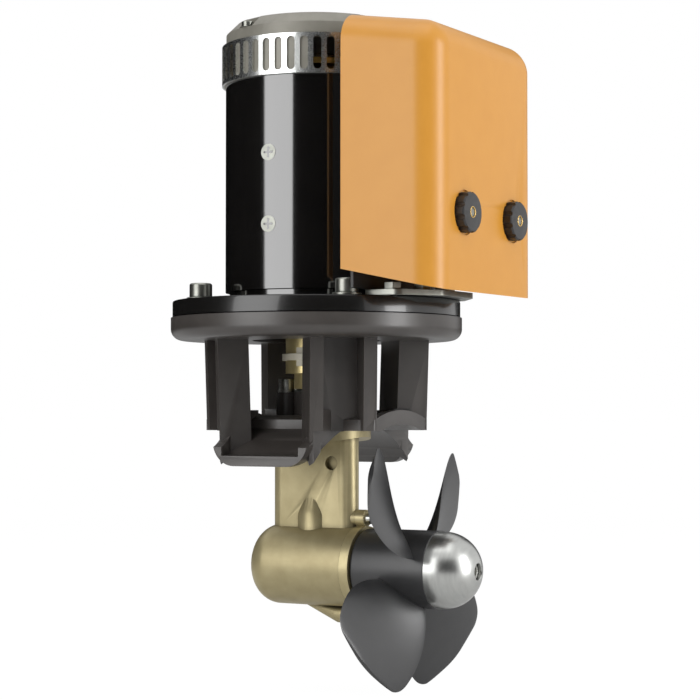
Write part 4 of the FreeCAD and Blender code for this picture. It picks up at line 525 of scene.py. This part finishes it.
# %% [markdown]
# Black cards hang round a glossy thing in a studio, so that it stays black between its bright
# bands. These three are seen only by reflections: they take no light from the object and throw
# no shadow on it.
# %% Black cards
CARD_RADIUS = 2.4
CARD_LOW, CARD_HIGH = -0.2, 1.7
CARD_STEPS = 24
black_card = bpy.data.materials.new("black card")
black_card.use_nodes = True
card_shader = black_card.node_tree.nodes["Principled BSDF"]
card_shader.inputs["Base Color"].default_value = linear("#101010")
card_shader.inputs["Roughness"].default_value = 1.0
card_shader.inputs["Specular IOR Level"].default_value = 0.0


def card(name, start_degrees, end_degrees):
    """A curved card on an arc round the object, from one angle to the other."""
    angle = np.radians(np.linspace(start_degrees, end_degrees, CARD_STEPS))
    x, y = CARD_RADIUS * np.cos(angle), CARD_RADIUS * np.sin(angle)
    points = np.stack([np.stack([x, y, np.full(CARD_STEPS, z)], axis=-1)
                       for z in (CARD_LOW, CARD_HIGH)], axis=1)
    index = np.arange(2 * CARD_STEPS).reshape(CARD_STEPS, 2)
    faces = np.stack([index[:-1, 0], index[1:, 0], index[1:, 1], index[:-1, 1]], axis=-1)
    mesh = bpy.data.meshes.new(name)
    mesh.from_pydata(points.reshape(-1, 3).tolist(), [], faces.tolist())
    mesh.materials.append(black_card)
    item = bpy.data.objects.new(name, mesh)
    bpy.context.scene.collection.objects.link(item)
    item.visible_camera = False
    item.visible_diffuse = False
    item.visible_shadow = False
    item.visible_transmission = False


card("card behind the camera", -88, -22)
card("card at the left", -235, -128)
card("card at the back", 85, 125)

# %% [markdown]
# The floor is white paper. It catches the object's shadow, and glows just enough towards the
# camera to melt into the white surround. It lies where the tunnel's wall would be, just under the
# sweep of the blades.
# %% Floor
FLOOR_Z = -0.0925
FLOOR_REACH = 30.0
PAPER_GREY = (0.8, 0.8, 0.8, 1)
PAPER_ROUGHNESS = 0.9
GLOW_STRENGTH = 1.04
FLOOR_WHITE = 0.93                      # the share of the glow in what the camera sees
floor_mesh = bpy.data.meshes.new("floor")
floor_mesh.from_pydata([(-FLOOR_REACH, -FLOOR_REACH, FLOOR_Z), (FLOOR_REACH, -FLOOR_REACH, FLOOR_Z),
                        (FLOOR_REACH, FLOOR_REACH, FLOOR_Z), (-FLOOR_REACH, FLOOR_REACH, FLOOR_Z)],
                       [], [(0, 1, 2, 3)])
floor = bpy.data.objects.new("floor", floor_mesh)
bpy.context.scene.collection.objects.link(floor)
paper = bpy.data.materials.new("white paper sweep")
paper.use_nodes = True
tree = paper.node_tree
sheet = tree.nodes["Principled BSDF"]
sheet.inputs["Base Color"].default_value = PAPER_GREY
sheet.inputs["Roughness"].default_value = PAPER_ROUGHNESS
glow = add_node(tree, "ShaderNodeEmission", inputs={"Color": WHITE, "Strength": GLOW_STRENGTH})
paper_rays = add_node(tree, "ShaderNodeLightPath")
part_white = add_node(tree, "ShaderNodeMath", {"operation": "MULTIPLY"},
                      inputs={1: FLOOR_WHITE}, links={0: paper_rays.outputs["Is Camera Ray"]})
mixed = add_node(tree, "ShaderNodeMixShader",
                 links={0: part_white.outputs["Value"], 1: sheet.outputs["BSDF"],
                        2: glow.outputs["Emission"]})
tree.links.new(mixed.outputs["Shader"], tree.nodes["Material Output"].inputs["Surface"])
floor_mesh.materials.append(paper)

# %% [markdown]
# The camera stands 30 degrees round from the side, a little above the propeller, and looks up
# by less than 2 degrees. A long lens keeps the motor's sides nearly parallel.
# %% Camera
AZIMUTH = math.radians(30)
DISTANCE = 1.4286
ASIDE = 0.0239
HEIGHT = 0.110
PITCH_UP = math.radians(1.72)
FOCAL_MM = 102.86
SENSOR_MM = 36.0
back = Vector((math.sin(AZIMUTH), -math.cos(AZIMUTH), 0))
right = Vector((math.cos(AZIMUTH), math.sin(AZIMUTH), 0))
lens = bpy.data.cameras.new("camera")
lens.lens = FOCAL_MM
lens.sensor_width = SENSOR_MM
camera = bpy.data.objects.new("camera", lens)
camera.location = back * DISTANCE + right * ASIDE + Vector((0, 0, HEIGHT))
ahead = -back * math.cos(PITCH_UP) + Vector((0, 0, math.sin(PITCH_UP)))
camera.rotation_euler = ahead.to_track_quat("-Z", "Y").to_euler()
bpy.context.scene.collection.objects.link(camera)
bpy.context.scene.camera = camera
bpy.context.scene.view_settings.view_transform = "Standard"
